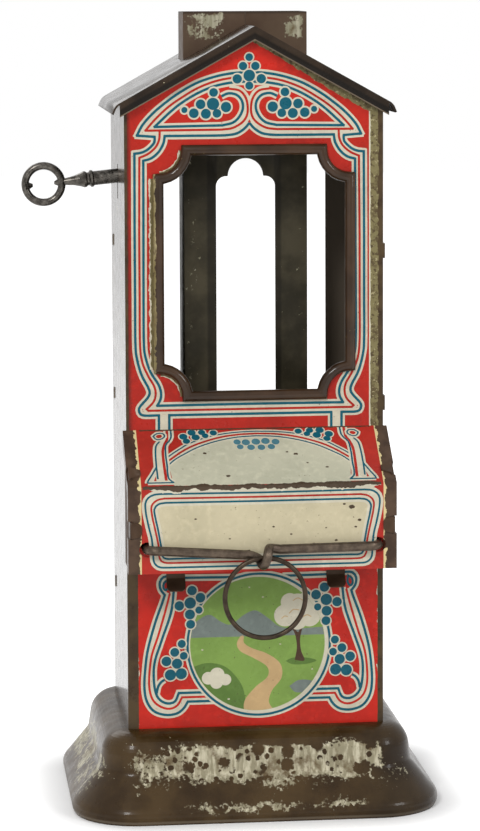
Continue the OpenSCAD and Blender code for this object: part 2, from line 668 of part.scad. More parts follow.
// Normals carried along the path without twist
function normals(path, last, i = 0) = i == len(path) ? [] :
    let (t = tangent(path, i), n = unit(last - (last * t) * t)) concat([n], normals(path, n, i + 1));

// Round wire along a path, as one closed tube
module wire(path, d, sides = 12) {
    count = len(path);
    ns = normals(path, [0, 0, 1]);
    points = [for (i = [0 : count - 1], k = [0 : sides - 1])
        let (a = 360 * k / sides, b = cross(tangent(path, i), ns[i]))
        path[i] + d / 2 * (cos(a) * ns[i] + sin(a) * b)];
    skin = [for (i = [0 : count - 2], k = [0 : sides - 1])
        let (j = (k + 1) % sides, p = i * sides, q = p + sides)
        each [[p + k, q + k, q + j], [p + k, q + j, p + j]]];
    last = (count - 1) * sides;
    ends = [for (k = [1 : sides - 2]) each [[0, k, k + 1], [last, last + k + 1, last + k]]];
    polyhedron(points, concat(skin, ends));
}

module pull_bail() color("#77726a") wire(wire_path, wire_d);

module pusher_slide() color("#6b6455") {
    half = tablet_w / 2 + tablet_slack - gap;
    low = stage_z + 0.15;
    top = stage_z + tablet_t - 0.6;
    box([-half, pusher_y, low], [half, yoke_back_y, top]);
    difference() {
        union() {
            box([-leg_x - lug_x, yoke_y, low], [leg_x + lug_x, yoke_back_y, top]);
            for (x = [-leg_x, leg_x])
                box([x - lug_x, yoke_y, leg_z - lug_x], [x + lug_x, yoke_back_y, top]);
        }
        for (x = [-leg_x, leg_x]) translate([x, yoke_y - cut, leg_z]) rotate([-90, 0, 0])
            cylinder(h = yoke_t + 2 * cut, d = wire_d + run_fit);
    }
}

module pull_rivets() color("#77726a") for (x = [-leg_x, leg_x])
    translate([x, yoke_back_y, leg_z]) rotate([-90, 0, 0]) cylinder(h = rivet_h, d = wire_d + 1.4);

module pull_ring() color("#77726a") translate([0, eye_y, ring_top_z - ring_r]) rotate([90, 0, 0])
    rotate_extrude() translate([ring_r, 0]) circle(d = ring_wire_d);

base_plinth();
base_floor();
front_panel();
window_frame();
left_wall();
right_wall();
rear_frame();
roof();
chocolate_column();
stage_plate();
chute_plate();
hood_cover();
hood_cheek_left();
hood_cheek_right();
coin_guide();
lock_plate();
lock_pin();
wall_hinge_leaves();
hinge_pins();
pull_bail();
pusher_slide();
pull_rivets();
pull_ring();
key();
lock_bolt();
rear_door();
door_hinge_leaves();
lock_keeper();
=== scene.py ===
import bpy
import bmesh
import math
from mathutils import Matrix, Vector, noise


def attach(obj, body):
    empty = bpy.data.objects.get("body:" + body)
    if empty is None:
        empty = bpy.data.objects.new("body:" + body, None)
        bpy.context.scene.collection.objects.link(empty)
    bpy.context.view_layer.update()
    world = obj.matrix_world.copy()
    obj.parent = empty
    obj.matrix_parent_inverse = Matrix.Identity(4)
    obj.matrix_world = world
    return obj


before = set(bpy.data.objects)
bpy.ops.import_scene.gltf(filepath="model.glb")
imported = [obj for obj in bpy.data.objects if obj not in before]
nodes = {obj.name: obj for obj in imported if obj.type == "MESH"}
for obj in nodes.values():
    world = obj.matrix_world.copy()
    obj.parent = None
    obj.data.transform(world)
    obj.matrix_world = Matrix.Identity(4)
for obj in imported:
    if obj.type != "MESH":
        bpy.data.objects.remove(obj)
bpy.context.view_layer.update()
scene = bpy.context.scene
mm = 0.001
print("frame loaded,", len(nodes), "solids")

# where the printed sheets stand, in mm; heights here and below are counted from the plinth's deck
sheets = {
    "deckZ": 26.2, "frontY": -29.0, "hoodY": -49.0, "foldZ": 79.1, "hoodTopZ": 93.7, "hoodTopY": -29.0,
    "pitch": 0.56}


# helpers for node trees

bench = {}  # holds the tree that nodes go into


def startTree(tree):
    bench["tree"] = tree
    tree.nodes.clear()


def link(output, socket):
    bench["tree"].links.new(output, socket)


def addNode(kind, setup=None, **inputs):  # inputs by name, or by number as i0, i1 and so on
    node = bench["tree"].nodes.new("ShaderNode" + kind)
    for key, value in (setup or {}).items():
        setattr(node, key, value)
    for key, value in inputs.items():
        socket = node.inputs[int(key[1:]) if key[0] == "i" and key[1:].isdigit() else key]
        if isinstance(value, bpy.types.NodeSocket):
            link(value, socket)
        else:
            socket.default_value = value
    return node


def calc(operation, a, b=0.0):
    return addNode("Math", {"operation": operation}, i0=a, i1=b).outputs[0]


def times(a, b):
    return calc("MULTIPLY", a, b)


def plus(a, b):
    return calc("ADD", a, b)


def minus(a, b):
    return calc("SUBTRACT", a, b)


def absolute(a):
    return calc("ABSOLUTE", a)


def spread(value, low, high, toLow=0.0, toHigh=1.0):
    node = addNode("MapRange", {"interpolation_type": "SMOOTHSTEP"}, Value=value)
    for socket, number in zip(node.inputs[1:5], (low, high, toLow, toHigh)):
        socket.default_value = number
    return node.outputs[0]


def mixColour(amount, first, second):
    node = addNode("Mix", {"data_type": "RGBA"})
    for socket, value in zip((node.inputs[0], node.inputs[6], node.inputs[7]), (amount, first, second)):
        if isinstance(value, bpy.types.NodeSocket):
            link(value, socket)
        elif isinstance(value, (tuple, list)):
            socket.default_value = tuple(value) + (1.0,)
        else:
            socket.default_value = value
    return node.outputs[2]


def place(scale=(1, 1, 1)):  # the piece's own coordinates, in metres
    spot = addNode("TexCoord").outputs["Object"]
    if scale == (1, 1, 1):
        return spot
    return addNode("Mapping", Vector=spot, Scale=scale).outputs[0]


def grain(lump, detail=4.0, rough=0.55, stretch=(1, 1, 1)):  # noise with lumps of a size in mm
    return addNode("TexNoise", Vector=place(stretch), Scale=1000.0 / lump, Detail=detail,
                   Roughness=rough).outputs["Fac"]


def swing(lump, reach, detail=4.0, rough=0.55):  # noise about zero
    return times(minus(grain(lump, detail, rough), 0.5), reach)


def blotch(lump, band, first, second, detail=5.0, rough=0.55):  # two tones in lumps
    return mixColour(spread(grain(lump, detail, rough), *band), first, second)


def facing():  # which way the flat face looks, whatever its smoothing
    return addNode("SeparateXYZ", Vector=addNode("NewGeometry").outputs["True Normal"]).outputs


def axisOf(letter):  # z is counted from the deck; g is level along the gable's two edges
    spot = addNode("SeparateXYZ", Vector=place()).outputs
    if letter in "xy":
        return spot[letter.upper()]
    height = minus(spot["Z"], sheets["deckZ"] * mm)
    if letter == "z":
        return height
    return plus(height, times(absolute(spot["X"]), sheets["pitch"]))


def zone(soft, **spans):  # a box in mm with soft sides, 1 inside
    mask = None
    for letter, (low, high) in spans.items():
        away = absolute(minus(axisOf(letter), (low + high) / 2 * mm))
        half = (high - low) / 2
        side = spread(away, (half - soft) * mm, (half + soft) * mm, 1.0, 0.0)
        mask = side if mask is None else times(mask, side)
    return mask


def startMaterial(name, specular=0.5):
    material = bpy.data.materials.new(name)
    material.use_nodes = True
    startTree(material.node_tree)
    shader = addNode("BsdfPrincipled", **{"Specular IOR Level": specular})
    link(shader.outputs[0], addNode("OutputMaterial").inputs[0])
    return material, shader


def dress(shader, colour, roughness, metal=None, height=None, depth=0.02, strength=0.6):
    link(colour, shader.inputs["Base Color"])
    link(roughness, shader.inputs["Roughness"])
    if metal is not None:
        link(metal, shader.inputs["Metallic"])
    if height is not None:
        bump = addNode("Bump", Height=height, Strength=strength, Distance=depth * mm)
        link(bump.outputs[0], shader.inputs["Normal"])


def srgb(*rgb):
    return tuple((v / 255 / 12.92) if v <= 10 else ((v / 255 + 0.055) / 1.055) ** 2.4 for v in rgb)


wearSet = {"lumpReach": 0.9, "fleck": 1.3, "fleckReach": 0.8, "fleckRough": 0.65, "edge": (0.40, 0.50)}
pitSet = {
    "sizes": ((6.4, 0.34), (2.8, 0.32)), "wobble": (0.9, 0.35), "edge": 0.03, "group": 2.2,
    "groupBand": (0.41, 0.47)}


def wornPatch(x, y, z, amount, soft, lumps):  # a worn area with a ragged, spotty edge
    shape = times(zone(soft, x=x, y=y, z=z), amount)
    flecks = swing(wearSet["fleck"], wearSet["fleckReach"], 5, wearSet["fleckRough"])
    edge = plus(swing(lumps, wearSet["lumpReach"]), flecks)
    return spread(plus(shape, edge), *wearSet["edge"])


def pitted():  # round rust pits of two sizes, in groups
    wobble = swing(*pitSet["wobble"], 3)
    pits = None
    edge = pitSet["edge"]
    for across, reach in pitSet["sizes"]:
        far = addNode("TexVoronoi", Vector=place(), Scale=1000.0 / across).outputs["Distance"]
        pit = spread(plus(far, wobble), reach - edge, reach + edge, 1.0, 0.0)
        pit = times(pit, spread(grain(across * pitSet["group"], 2), *pitSet["groupBand"]))
        pits = pit if pits is None else calc("MAXIMUM", pits, pit)
    return pits


lacquerSet = {  # tones, gloss and wear of the brown lacquer; sizes of lumps in mm
    "dark": srgb(42, 31, 23), "light": srgb(63, 49, 37), "tin": srgb(150, 143, 116),
    "chip": srgb(196, 188, 156), "stain": srgb(92, 76, 52), "shadow": (0.004, 0.003, 0.002),
    "specular": 0.12, "coatRough": 0.07, "thinCoat": 0.02, "turn": (0.3, 0.7), "forward": (-0.6, -0.4),
    "mottle": 14, "mottleBand": (0.35, 0.65), "fleck": 1.1, "cluster": 9, "clusterShare": 0.5,
    "chipEdge": (1.04, 1.08), "chipGain": 0.3, "streak": 1.3, "streakPull": (1, 1, 0.10),
    "streakBand": (0.42, 0.66), "stainLump": 4, "stainBand": (0.50, 0.74), "gloss": 0.30,
    "sheen": (0.3, 0.75), "sheenReach": 0.14, "wornRough": 0.14, "wave": 7, "waveShare": 0.7,
    "wornDepth": 0.4, "wornMetal": 0.3}


def makeLacquer(name, patches=(), chips=0.2, dark=None, light=None, gloss=None, tin=None, chip=None,
                pits=False, coat=0.0, sideCoat=False, paintedLightAndTints=(), inner=None, bump=0.05):
    values = lacquerSet
    material, shader = startMaterial(name, values["specular"])
    shader.inputs["Coat Roughness"].default_value = values["coatRough"]
    if sideCoat:  # mirror-like only where it faces the side or the sky
        turned = spread(absolute(facing()["Y"]), *values["turn"], coat, values["thinCoat"])
        link(turned, shader.inputs["Coat Weight"])
    else:
        shader.inputs["Coat Weight"].default_value = coat
    tones = dark or values["dark"], light or values["light"]
    shade = blotch(values["mottle"], values["mottleBand"], *tones, 6)
    if inner:  # paler where the sheet faces forward into the tower
        shade = mixColour(spread(facing()["Y"], *values["forward"], 1.0, 0.0), shade, inner)
    # painted shade and highlights, and plain tints, laid over the lacquer's tone
    for spans, soft, amount, tone in paintedLightAndTints:
        shade = mixColour(times(zone(soft, **spans), amount), shade, tone)
    clusters = times(grain(values["cluster"], 3), values["clusterShare"])
    worn = spread(plus(grain(values["fleck"], 5), clusters),
                  *(edge - values["chipGain"] * chips for edge in values["chipEdge"]))
    for patch in patches:
        worn = calc("MAXIMUM", worn, wornPatch(*patch))
    if pits:
        worn = times(worn, minus(1.0, pitted()))
    streak = spread(grain(values["streak"], 4, 0.6, values["streakPull"]), *values["streakBand"])
    bare = mixColour(streak, tin or values["tin"], chip or values["chip"])
    bare = blotch(values["stainLump"], values["stainBand"], bare, values["stain"])
    base = gloss or values["gloss"]
    sheen = spread(grain(values["stainLump"], 5), *values["sheen"], base, base + values["sheenReach"])
    roughness = plus(sheen, times(worn, values["wornRough"]))
    waves = times(grain(values["wave"], 3), values["waveShare"])
    height = minus(waves, times(worn, values["wornDepth"]))
    metal = times(worn, values["wornMetal"])
    dress(shader, mixColour(worn, shade, bare), roughness, metal, height, bump)
    return material


metalSet = {
    "tin": {"dark": srgb(120, 117, 104), "light": srgb(176, 172, 156), "rough": 0.38},
    "wire": {"dark": srgb(66, 56, 47), "light": srgb(96, 84, 72), "rough": 0.38},
    "ring": {"dark": srgb(43, 35, 27), "light": srgb(67, 56, 45), "rough": 0.36},
    "key": {"dark": srgb(52, 49, 45), "light": srgb(98, 94, 88), "rough": 0.27}}
rustSet = {
    "tone": srgb(70, 50, 36), "lump": 0.6, "edge": (0.60, 0.70), "rough": 0.25, "metal": (0.85, 0.25)}
wireSet = {
    "mottleBand": (0.32, 0.68), "sheenLump": 0.8, "sheenBand": (0.3, 0.7), "sheen": (-0.08, 0.10),
    "bumpLump": 0.6}


def makeMetal(name, kind, lump=2.4):
    values = metalSet[kind]
    material, shader = startMaterial(name)
    tone = blotch(lump, wireSet["mottleBand"], values["dark"], values["light"], 6, 0.6)
    rust = spread(grain(lump * rustSet["lump"], 6, 0.7), *rustSet["edge"])
    colour = mixColour(rust, tone, rustSet["tone"])
    sheen = spread(grain(wireSet["sheenLump"], 5), *wireSet["sheenBand"],
                   *(values["rough"] + v for v in wireSet["sheen"]))
    roughness = plus(sheen, times(rust, rustSet["rough"]))
    metal = spread(rust, 0.0, 1.0, *rustSet["metal"])
    dress(shader, colour, roughness, metal, grain(wireSet["bumpLump"], 4))
    return material


# the upper, hood and gable reds and the upper cream are lit and shaded copies: painted shade above the hood
# and on it, painted light near the gable
inkSet = {
    "red": (186, 36, 24), "paintedLightGableRed": (188, 36, 24), "paintedShadeUpperRed": (167, 34, 22), "paintedShadeHoodRed": (167, 41, 31),
    "cream": (198, 192, 171), "paintedShadeUpperCream": (194, 187, 166), "blue": (8, 82, 98),
    "paleBlue": (72, 116, 128), "green": (120, 149, 72), "leaf": (86, 114, 52), "grey": (112, 122, 116),
    "tan": (186, 156, 112), "brown": (70, 48, 34), "gold": (99, 88, 54), "worn": (72, 58, 44),
    "paper": (192, 182, 152), "slopePaper": (184, 182, 160)}
printSet = {
    "specular": 0.18, "deep": 0.94, "deepRed": 0.88, "fade": (1.03, 3), "cloud": 22,
    "cloudBand": (0.36, 0.64), "fadeLump": 2.2, "fadeBand": (0.45, 0.8), "speck": srgb(66, 48, 38),
    "speckLump": 0.8, "speckEdge": (0.700, 0.722), "sheen": (0.24, 0.38), "sheetSheen": (0.26, 0.40),
    "hoodSheen": (0.27, 0.42), "depth": 0.03, "sheenLump": 3, "sheenBand": (0.3, 0.7), "waveLump": 5}


def inkColour(name):  # printed colour with slight fading and a few dark specks
    rgb = inkSet[name]
    gain, lift = printSet["fade"]
    share = printSet["deepRed" if name.lower().endswith("red") else "deep"]
    faded = srgb(*(min(255, int(v * gain + lift)) for v in rgb))
    deep = srgb(*(int(v * share) for v in rgb))
    tone = blotch(printSet["cloud"], printSet["cloudBand"], deep, srgb(*rgb), 4)
    tone = blotch(printSet["fadeLump"], printSet["fadeBand"], tone, faded)
    return blotch(printSet["speckLump"], printSet["speckEdge"], tone, printSet["speck"], 3, 0.6)


def dressPrint(shader, colour, sheen):  # the finish that all printed tin shares
    shine = grain(printSet["sheenLump"], 5)
    roughness = spread(shine, *printSet["sheenBand"], *printSet[sheen])
    dress(shader, colour, roughness, None, grain(printSet["waveLump"], 3), printSet["depth"])


inks = {}


def makeInk(name):  # each ink is made at its first use
    if name not in inks:
        inks[name], shader = startMaterial("ink_" + name, printSet["specular"])
        dressPrint(shader, inkColour(name), "sheen")
    return inks[name]


panelSet = {  # fields and margins of the front panel, in mm
    "upperFrom": (92.5, 93.5), "gableFrom": (182, 206), "lowerTo": (52.5, 53.5), "gableTop": 214.8,
    "gableWide": (30, 1.5), "rightEdge": 39.9,
    "bands": {"cream": (4.35, 0.05), "gold": (3.9, 0.3), "brown": (1.5, 0.9)},
    "slant": 0.95, "paintedBendShade": (-39.5, -37.6), "leftEdge": (-39.3, -39.0), "lowBorder": 37.4, "lowShift": 0.8,
    "ragged": 2.2, "line": 0.1, "inside": (-0.75, -0.65), "chipLump": 3.4, "chipBand": (0.56, 0.60),
    # painted shade along the left edge where the sheet bends back
    "paintedBendShadeTone": srgb(60, 30, 22), "paintedBendShadeShare": 0.9,
    "blur": {"gable": 0.9, "left": 0.3, "chips": 0.8, "strip": 0.12},
    "brown": (6, (0.35, 0.65), srgb(54, 40, 24), srgb(74, 59, 38)),
    "gold": (1.2, (0.50, 0.64), srgb(118, 109, 74), srgb(76, 63, 42)),
    "stain": {"lump": 4.2, "band": (0.50, 0.58), "amount": 0.75, "tone": srgb(84, 71, 47)},
    "glint": {"lump": 0.8, "band": (0.62, 0.66), "tone": srgb(160, 150, 114)}}


def makeFrontSheet():  # red print outside, lacquer inside, worn margins
    material, shader = startMaterial("front_sheet_print", printSet["specular"])
    values, line, blur = panelSet, panelSet["line"], panelSet["blur"]
    x, z = axisOf("x"), axisOf("z")
    ragged = swing(values["ragged"], values["ragged"] * mm, 5)
    brown, gold = blotch(*values["brown"]), blotch(*values["gold"])
    stain, glint = values["stain"], values["glint"]
    stained = spread(grain(stain["lump"], 4, 0.6), *stain["band"], 0.0, stain["amount"])
    gold = mixColour(stained, gold, stain["tone"])
    gold = blotch(glint["lump"], glint["band"], gold, glint["tone"], 3)
    cream = srgb(*inkSet["cream"])
    # painted shade: the red above the hood is a darker copy of the same ink
    upper = spread(z, *(v * mm for v in values["upperFrom"]))
    colour = mixColour(upper, inkColour("red"), inkColour("paintedShadeUpperRed"))
    # painted light: near the gable the red is lighter again
    gable = spread(z, *(v * mm for v in values["gableFrom"]))
    colour = mixColour(gable, colour, inkColour("paintedLightGableRed"))

    # worn strips along the right edge and the right half of the gable, level along its edge
    slope = plus(times(x, sheets["pitch"]), z)
    gableIn = minus(minus(values["gableTop"] * mm, slope), times(ragged, blur["gable"]))
    taper, extra = values["gableWide"]
    gableIn = plus(gableIn, spread(x, 0.0, taper * mm, extra * mm, 0.0))
    edgeIn = minus(values["rightEdge"] * mm, x)
    tones = {"cream": cream, "gold": gold, "brown": brown}
    for name, (deep, jag) in values["bands"].items():
        way = plus(edgeIn, times(ragged, jag))
        edge = times(upper, spread(way, (deep - line) * mm, deep * mm, 1.0, 0.0))
        colour = mixColour(edge, colour, tones[name])
        if name != "cream":
            deep *= values["slant"]
            slant = spread(gableIn, (deep - line) * mm, deep * mm, 1.0, 0.0)
            colour = mixColour(slant, colour, tones[name])

    # left edge: painted shade where the sheet bends back, and a brown line at the very edge
    paintedBendShade = times(upper, spread(x, *(v * mm for v in values["paintedBendShade"]), values["paintedBendShadeShare"], 0.0))
    colour = mixColour(paintedBendShade, colour, values["paintedBendShadeTone"])
    way = plus(x, times(ragged, blur["left"]))
    edge = spread(way, *(v * mm for v in values["leftEdge"]), 1.0, 0.0)
    colour = mixColour(edge, colour, brown)

    # brown borders of the lower field, chipped along their inner side
    border = values["lowBorder"]
    side = absolute(minus(x, values["lowShift"] * mm))
    lower = spread(z, *(v * mm for v in values["lowerTo"]), 1.0, 0.0)
    way = minus(side, times(ragged, blur["chips"]))
    chipLine = spread(way, (border - line) * mm, border * mm)
    chipHere = times(chipLine, spread(grain(values["chipLump"], 3), *values["chipBand"]))
    colour = mixColour(times(lower, chipHere), colour, cream)
    way = minus(side, times(ragged, blur["strip"]))
    strip = spread(way, border * mm, (border + line) * mm)
    colour = mixColour(times(lower, strip), colour, brown)
    colour = mixColour(spread(facing()["Y"], *values["inside"]), colour, brown)
    dressPrint(shader, colour, "sheetSheen")
    return material


hoodSheetSet = {
    "border": 37.0, "line": 0.05, "strip": (0.55, 0.65), "ragged": (3.0, 4.0), "outward": (0, -0.8, 0.6),
    "outBand": (0.55, 0.65), "sideBand": (0.4, 0.6), "cream": srgb(204, 188, 138),
    "brown": (6, (0.35, 0.65), srgb(58, 42, 31), srgb(80, 62, 48))}


def makeHoodSheet():  # red print with brown side strips that are chipped along their edge
    material, shader = startMaterial("hood_sheet_print", printSet["specular"])
    values, border = hoodSheetSet, hoodSheetSet["border"]
    brown = blotch(*values["brown"])
    lump, reach = values["ragged"]
    ragged = swing(lump, reach * mm, 5)
    side = absolute(axisOf("x"))
    cream = spread(side, (border - values["line"]) * mm, (border + values["line"]) * mm)
    # painted shade: the hood's red is a darker copy of the same ink
    colour = mixColour(cream, inkColour("paintedShadeHoodRed"), values["cream"])
    strip = spread(plus(side, ragged), *((border + v) * mm for v in values["strip"]))
    colour = mixColour(strip, colour, brown)
    normal = addNode("NewGeometry").outputs["True Normal"]
    outward = addNode("VectorMath", {"operation": "DOT_PRODUCT"}, i0=normal, i1=values["outward"])
    within = spread(outward.outputs["Value"], *values["outBand"], 1.0, 0.0)
    colour = mixColour(within, colour, brown)
    ends = spread(absolute(facing()["X"]), *values["sideBand"])
    colour = mixColour(ends, colour, brown)
    dressPrint(shader, colour, "hoodSheen")
    return material


# worn areas: spans of x, y and z in mm, amount, softness of the sides and size of the lumps
plinthPatches = [
    ((-31, 39), (-52, -30), (-15.4, -3.4), 0.60, 4.0, 9.0),
    ((-20, 24), (-52, -30), (-14.6, -4.0), 0.74, 3.0, 9.0),
    ((-41, 49), (-52, -30), (-18.0, -2.4), 0.34, 4.0, 11.0),
    ((-28, 34), (-52, -40), (-23.6, -19.2), 0.46, 2.5, 7.0),
    ((-60, -43), (-36, 34), (-22, -5), 0.48, 6.0, 9.0)]
columnPatches = [
    ((-19, -6), (-6, -4), (212.5, 222), 0.56, 2.2, 4.6),
    ((11.5, 19), (-6, -4), (213, 221.5), 0.56, 1.8, 4.6),
    ((-20, -14), (-6, 0), (68, 178), 0.30, 2.0, 3.6),
    ((11, 20), (-6, 0), (120, 182), 0.20, 3.0, 4.0)]
doorPatches = [  # rubbed along the opening edge, the foot and the sight opening
    ((-42, -37.5), (28, 33), (20, 176), 0.40, 1.4, 5.0),
    ((-30, 34), (28, 33), (-2, 3.5), 0.36, 1.6, 6.0),
    ((-20, 14), (28, 33), (88, 92.5), 0.42, 1.4, 5.0)]
wallPatches = [
    ((38, 42), (-2, 34), (-1, 3), 0.36, 1.6, 5.0),
    ((38, 42), (-19, 11), (43.5, 47), 0.36, 1.6, 4.0),
    ((-42, -38), (-8, 8), (156, 182), 0.30, 3.0, 5.0)]
framePatches = [((-34, -30.4), (-32, -29), (109.5, 173.5), 0.6, 0.6, 4.0)]

# painted shade and painted highlights, and one own tint of the column's top: spans as in axisOf, softness
# of the sides, amount and tone
shadow = lacquerSet["shadow"]
plinthPaintedLight = [
    # painted highlight: a lighter line along the foot's lip
    ({"x": (-70, 70), "y": (-56, 56), "z": (-25.7, -24.9)}, 0.3, 0.5, srgb(120, 108, 92)),
    # painted shade: the right flank is darker
    ({"x": (34, 70), "y": (-56, 56), "z": (-30, 2)}, 8.0, 0.45, shadow)]
columnPaintedShadeAndTint = [
    # painted shade beside the slot's folded edges
    ({"x": (-12.2, -9.0), "y": (-6, -4), "z": (65, 183)}, 0.5, 0.55, shadow),
    ({"x": (9.0, 11.2), "y": (-6, -4), "z": (65, 183)}, 0.5, 0.55, shadow),
    # the top's own browner tint, then painted shade as a dark line along the top rim
    ({"z": (204, 230)}, 4.0, 0.5, srgb(92, 68, 54)), ({"z": (221.2, 222.6)}, 0.3, 0.5, shadow)]
roofPaintedLight = [
    # painted shade on the lower part of the roof's front edge
    ({"g": (212.6, 215.7), "y": (-33, -31)}, 0.5, 0.8, shadow),
    # painted highlight: a light line along that edge's lower rim
    ({"g": (213.2, 213.8), "y": (-33, -31.8)}, 0.1, 0.7, srgb(120, 106, 88))]

finishes = {
    "base_plinth": makeLacquer(
        "plinth_lacquer", plinthPatches, 0.15, dark=srgb(48, 33, 13), light=srgb(70, 53, 29),
        tin=srgb(138, 131, 107), chip=srgb(188, 181, 157), pits=True, gloss=0.26, coat=0.14,
        paintedLightAndTints=plinthPaintedLight),
    "window_frame": makeLacquer(
        "frame_lacquer", framePatches, 0.15, dark=srgb(40, 24, 8), light=srgb(60, 40, 22),
        tin=srgb(124, 111, 70), chip=srgb(168, 156, 116), coat=0.34, bump=0.03),
    "roof": makeLacquer(
        "roof_lacquer", chips=0.1, dark=srgb(34, 26, 19), light=srgb(52, 41, 31), gloss=0.2, coat=0.28,
        sideCoat=True, paintedLightAndTints=roofPaintedLight, bump=0.015),
    "chocolate_column": makeLacquer(
        "column_lacquer", columnPatches, 0.12, dark=srgb(44, 40, 29), light=srgb(70, 64, 49), gloss=0.42,
        tin=srgb(132, 128, 106), chip=srgb(166, 162, 142), paintedLightAndTints=columnPaintedShadeAndTint),
    "rear_frame": makeLacquer("rear_lacquer", chips=0.1, inner=srgb(124, 113, 99)),
    "rear_door": makeLacquer(
        "door_lacquer", doorPatches, 0.16, dark=srgb(50, 37, 26), light=srgb(61, 47, 34),
        tin=srgb(136, 133, 112), chip=srgb(176, 172, 150), coat=0.1, bump=0.02),
    "front_panel": makeFrontSheet(), "hood_cover": makeHoodSheet(),
    "key": makeMetal("cast_key_steel", "key", 1.6), "pull_ring": makeMetal("ring_wire", "ring")}
shared = (
    (makeLacquer("wall_lacquer", wallPatches, 0.12, dark=srgb(46, 35, 26), light=srgb(57, 44, 33),
                 gloss=0.26, coat=0.47, sideCoat=True, bump=0.012), ("left_wall", "right_wall")),
    (makeLacquer("tower_lacquer", chips=0.12, dark=srgb(60, 44, 32), light=srgb(78, 60, 46)),
     ("hood_cheek_left", "hood_cheek_right", "chute_plate")),
    (makeMetal("plain_tinplate", "tin", 5.0),
     ("base_floor", "stage_plate", "coin_guide", "lock_plate", "wall_hinge_leaves", "pusher_slide",
      "lock_bolt", "door_hinge_leaves", "lock_keeper")),
    (makeMetal("drawn_wire", "wire"), ("pull_bail", "pull_rivets", "hinge_pins", "lock_pin")))
for finish, names in shared:
    finishes.update(dict.fromkeys(names, finish))
print("finishes ready:", len(bpy.data.materials))

edgeSet = {
    "sharp": 32, "weld": 0.001, "bevel": 0.16, "steps": 2, "from": 40,
    "rounded": ("roof", "window_frame", "hood_cheek_left", "hood_cheek_right", "chocolate_column",
                "chute_plate")}

for name, solid in nodes.items():
    solid.data.materials.clear()
    solid.data.materials.append(finishes[name])
    for face in solid.data.polygons:
        face.use_smooth = True
    solid.data.set_sharp_from_angle(angle=math.radians(edgeSet["sharp"]))
    if name in edgeSet["rounded"]:
        solid.modifiers.new("join", "WELD").merge_threshold = edgeSet["weld"] * mm
        edge = solid.modifiers.new("edge", "BEVEL")
        edge.width, edge.segments, edge.limit_method = edgeSet["bevel"] * mm, edgeSet["steps"], "ANGLE"
        edge.angle_limit, edge.harden_normals = math.radians(edgeSet["from"]), True
print("solids finished")


# helpers for lines of points, in mm on a flat sheet

def smoothLine(parts, step=0.7):  # each part is a run of points; runs meet at sharp corners
    line = []
    for run in parts:
        run = [Vector(p) for p in run]
        if len(run) == 2:
            fresh = run
        else:
            ends = [run[0] * 2 - run[1]] + run + [run[-1] * 2 - run[-2]]
            fresh = []
            for a, b, c, d in zip(ends, ends[1:], ends[2:], ends[3:]):
                count = max(2, int((c - b).length / step))
                for k in range(count):
                    t = k / count
                    fresh.append(0.5 * ((2 * b) + (c - a) * t + (2 * a - 5 * b + 4 * c - d) * t * t
                                        + (3 * b - a - 3 * c + d) * t ** 3))
            fresh.append(run[-1])
        line += fresh if not line else fresh[1:]
    return line


def flipped(parts):  # the same run on the other side of the middle line
    return [[(-x, z) for x, z in run] for run in parts]


def onSide(side, points):  # side is 1 on the right and -1 on the left
    return [Vector((side * p[0], p[1])) for p in points]


def dotsOnSide(side, spots, share=1.0):
    return [(side * x, z, r * share) for x, z, r in spots]


def closedLine(points, step=0.7):  # a smooth outline that ends where it starts
    return smoothLine([points + points[:1]], step)[:-1]


def roundDot(spot, radius, count=24):
    return [Vector((spot[0] + radius * math.cos(a), spot[1] + radius * math.sin(a)))
            for a in (2 * math.pi * k / count for k in range(count))]


# heights of the ink in mm, each later slab a hair higher; worn edges and chips by noise
slabSet = {"top": 0.02, "step": 0.0006, "sunk": -0.03, "mitre": 0.45}
jagSet = {"pitch": 0.55, "waves": ((1.0, 0.7), (3.1, 0.5))}
chipSet = {"corners": 14, "flat": 0.6, "wide": 0.35, "tall": 0.5}


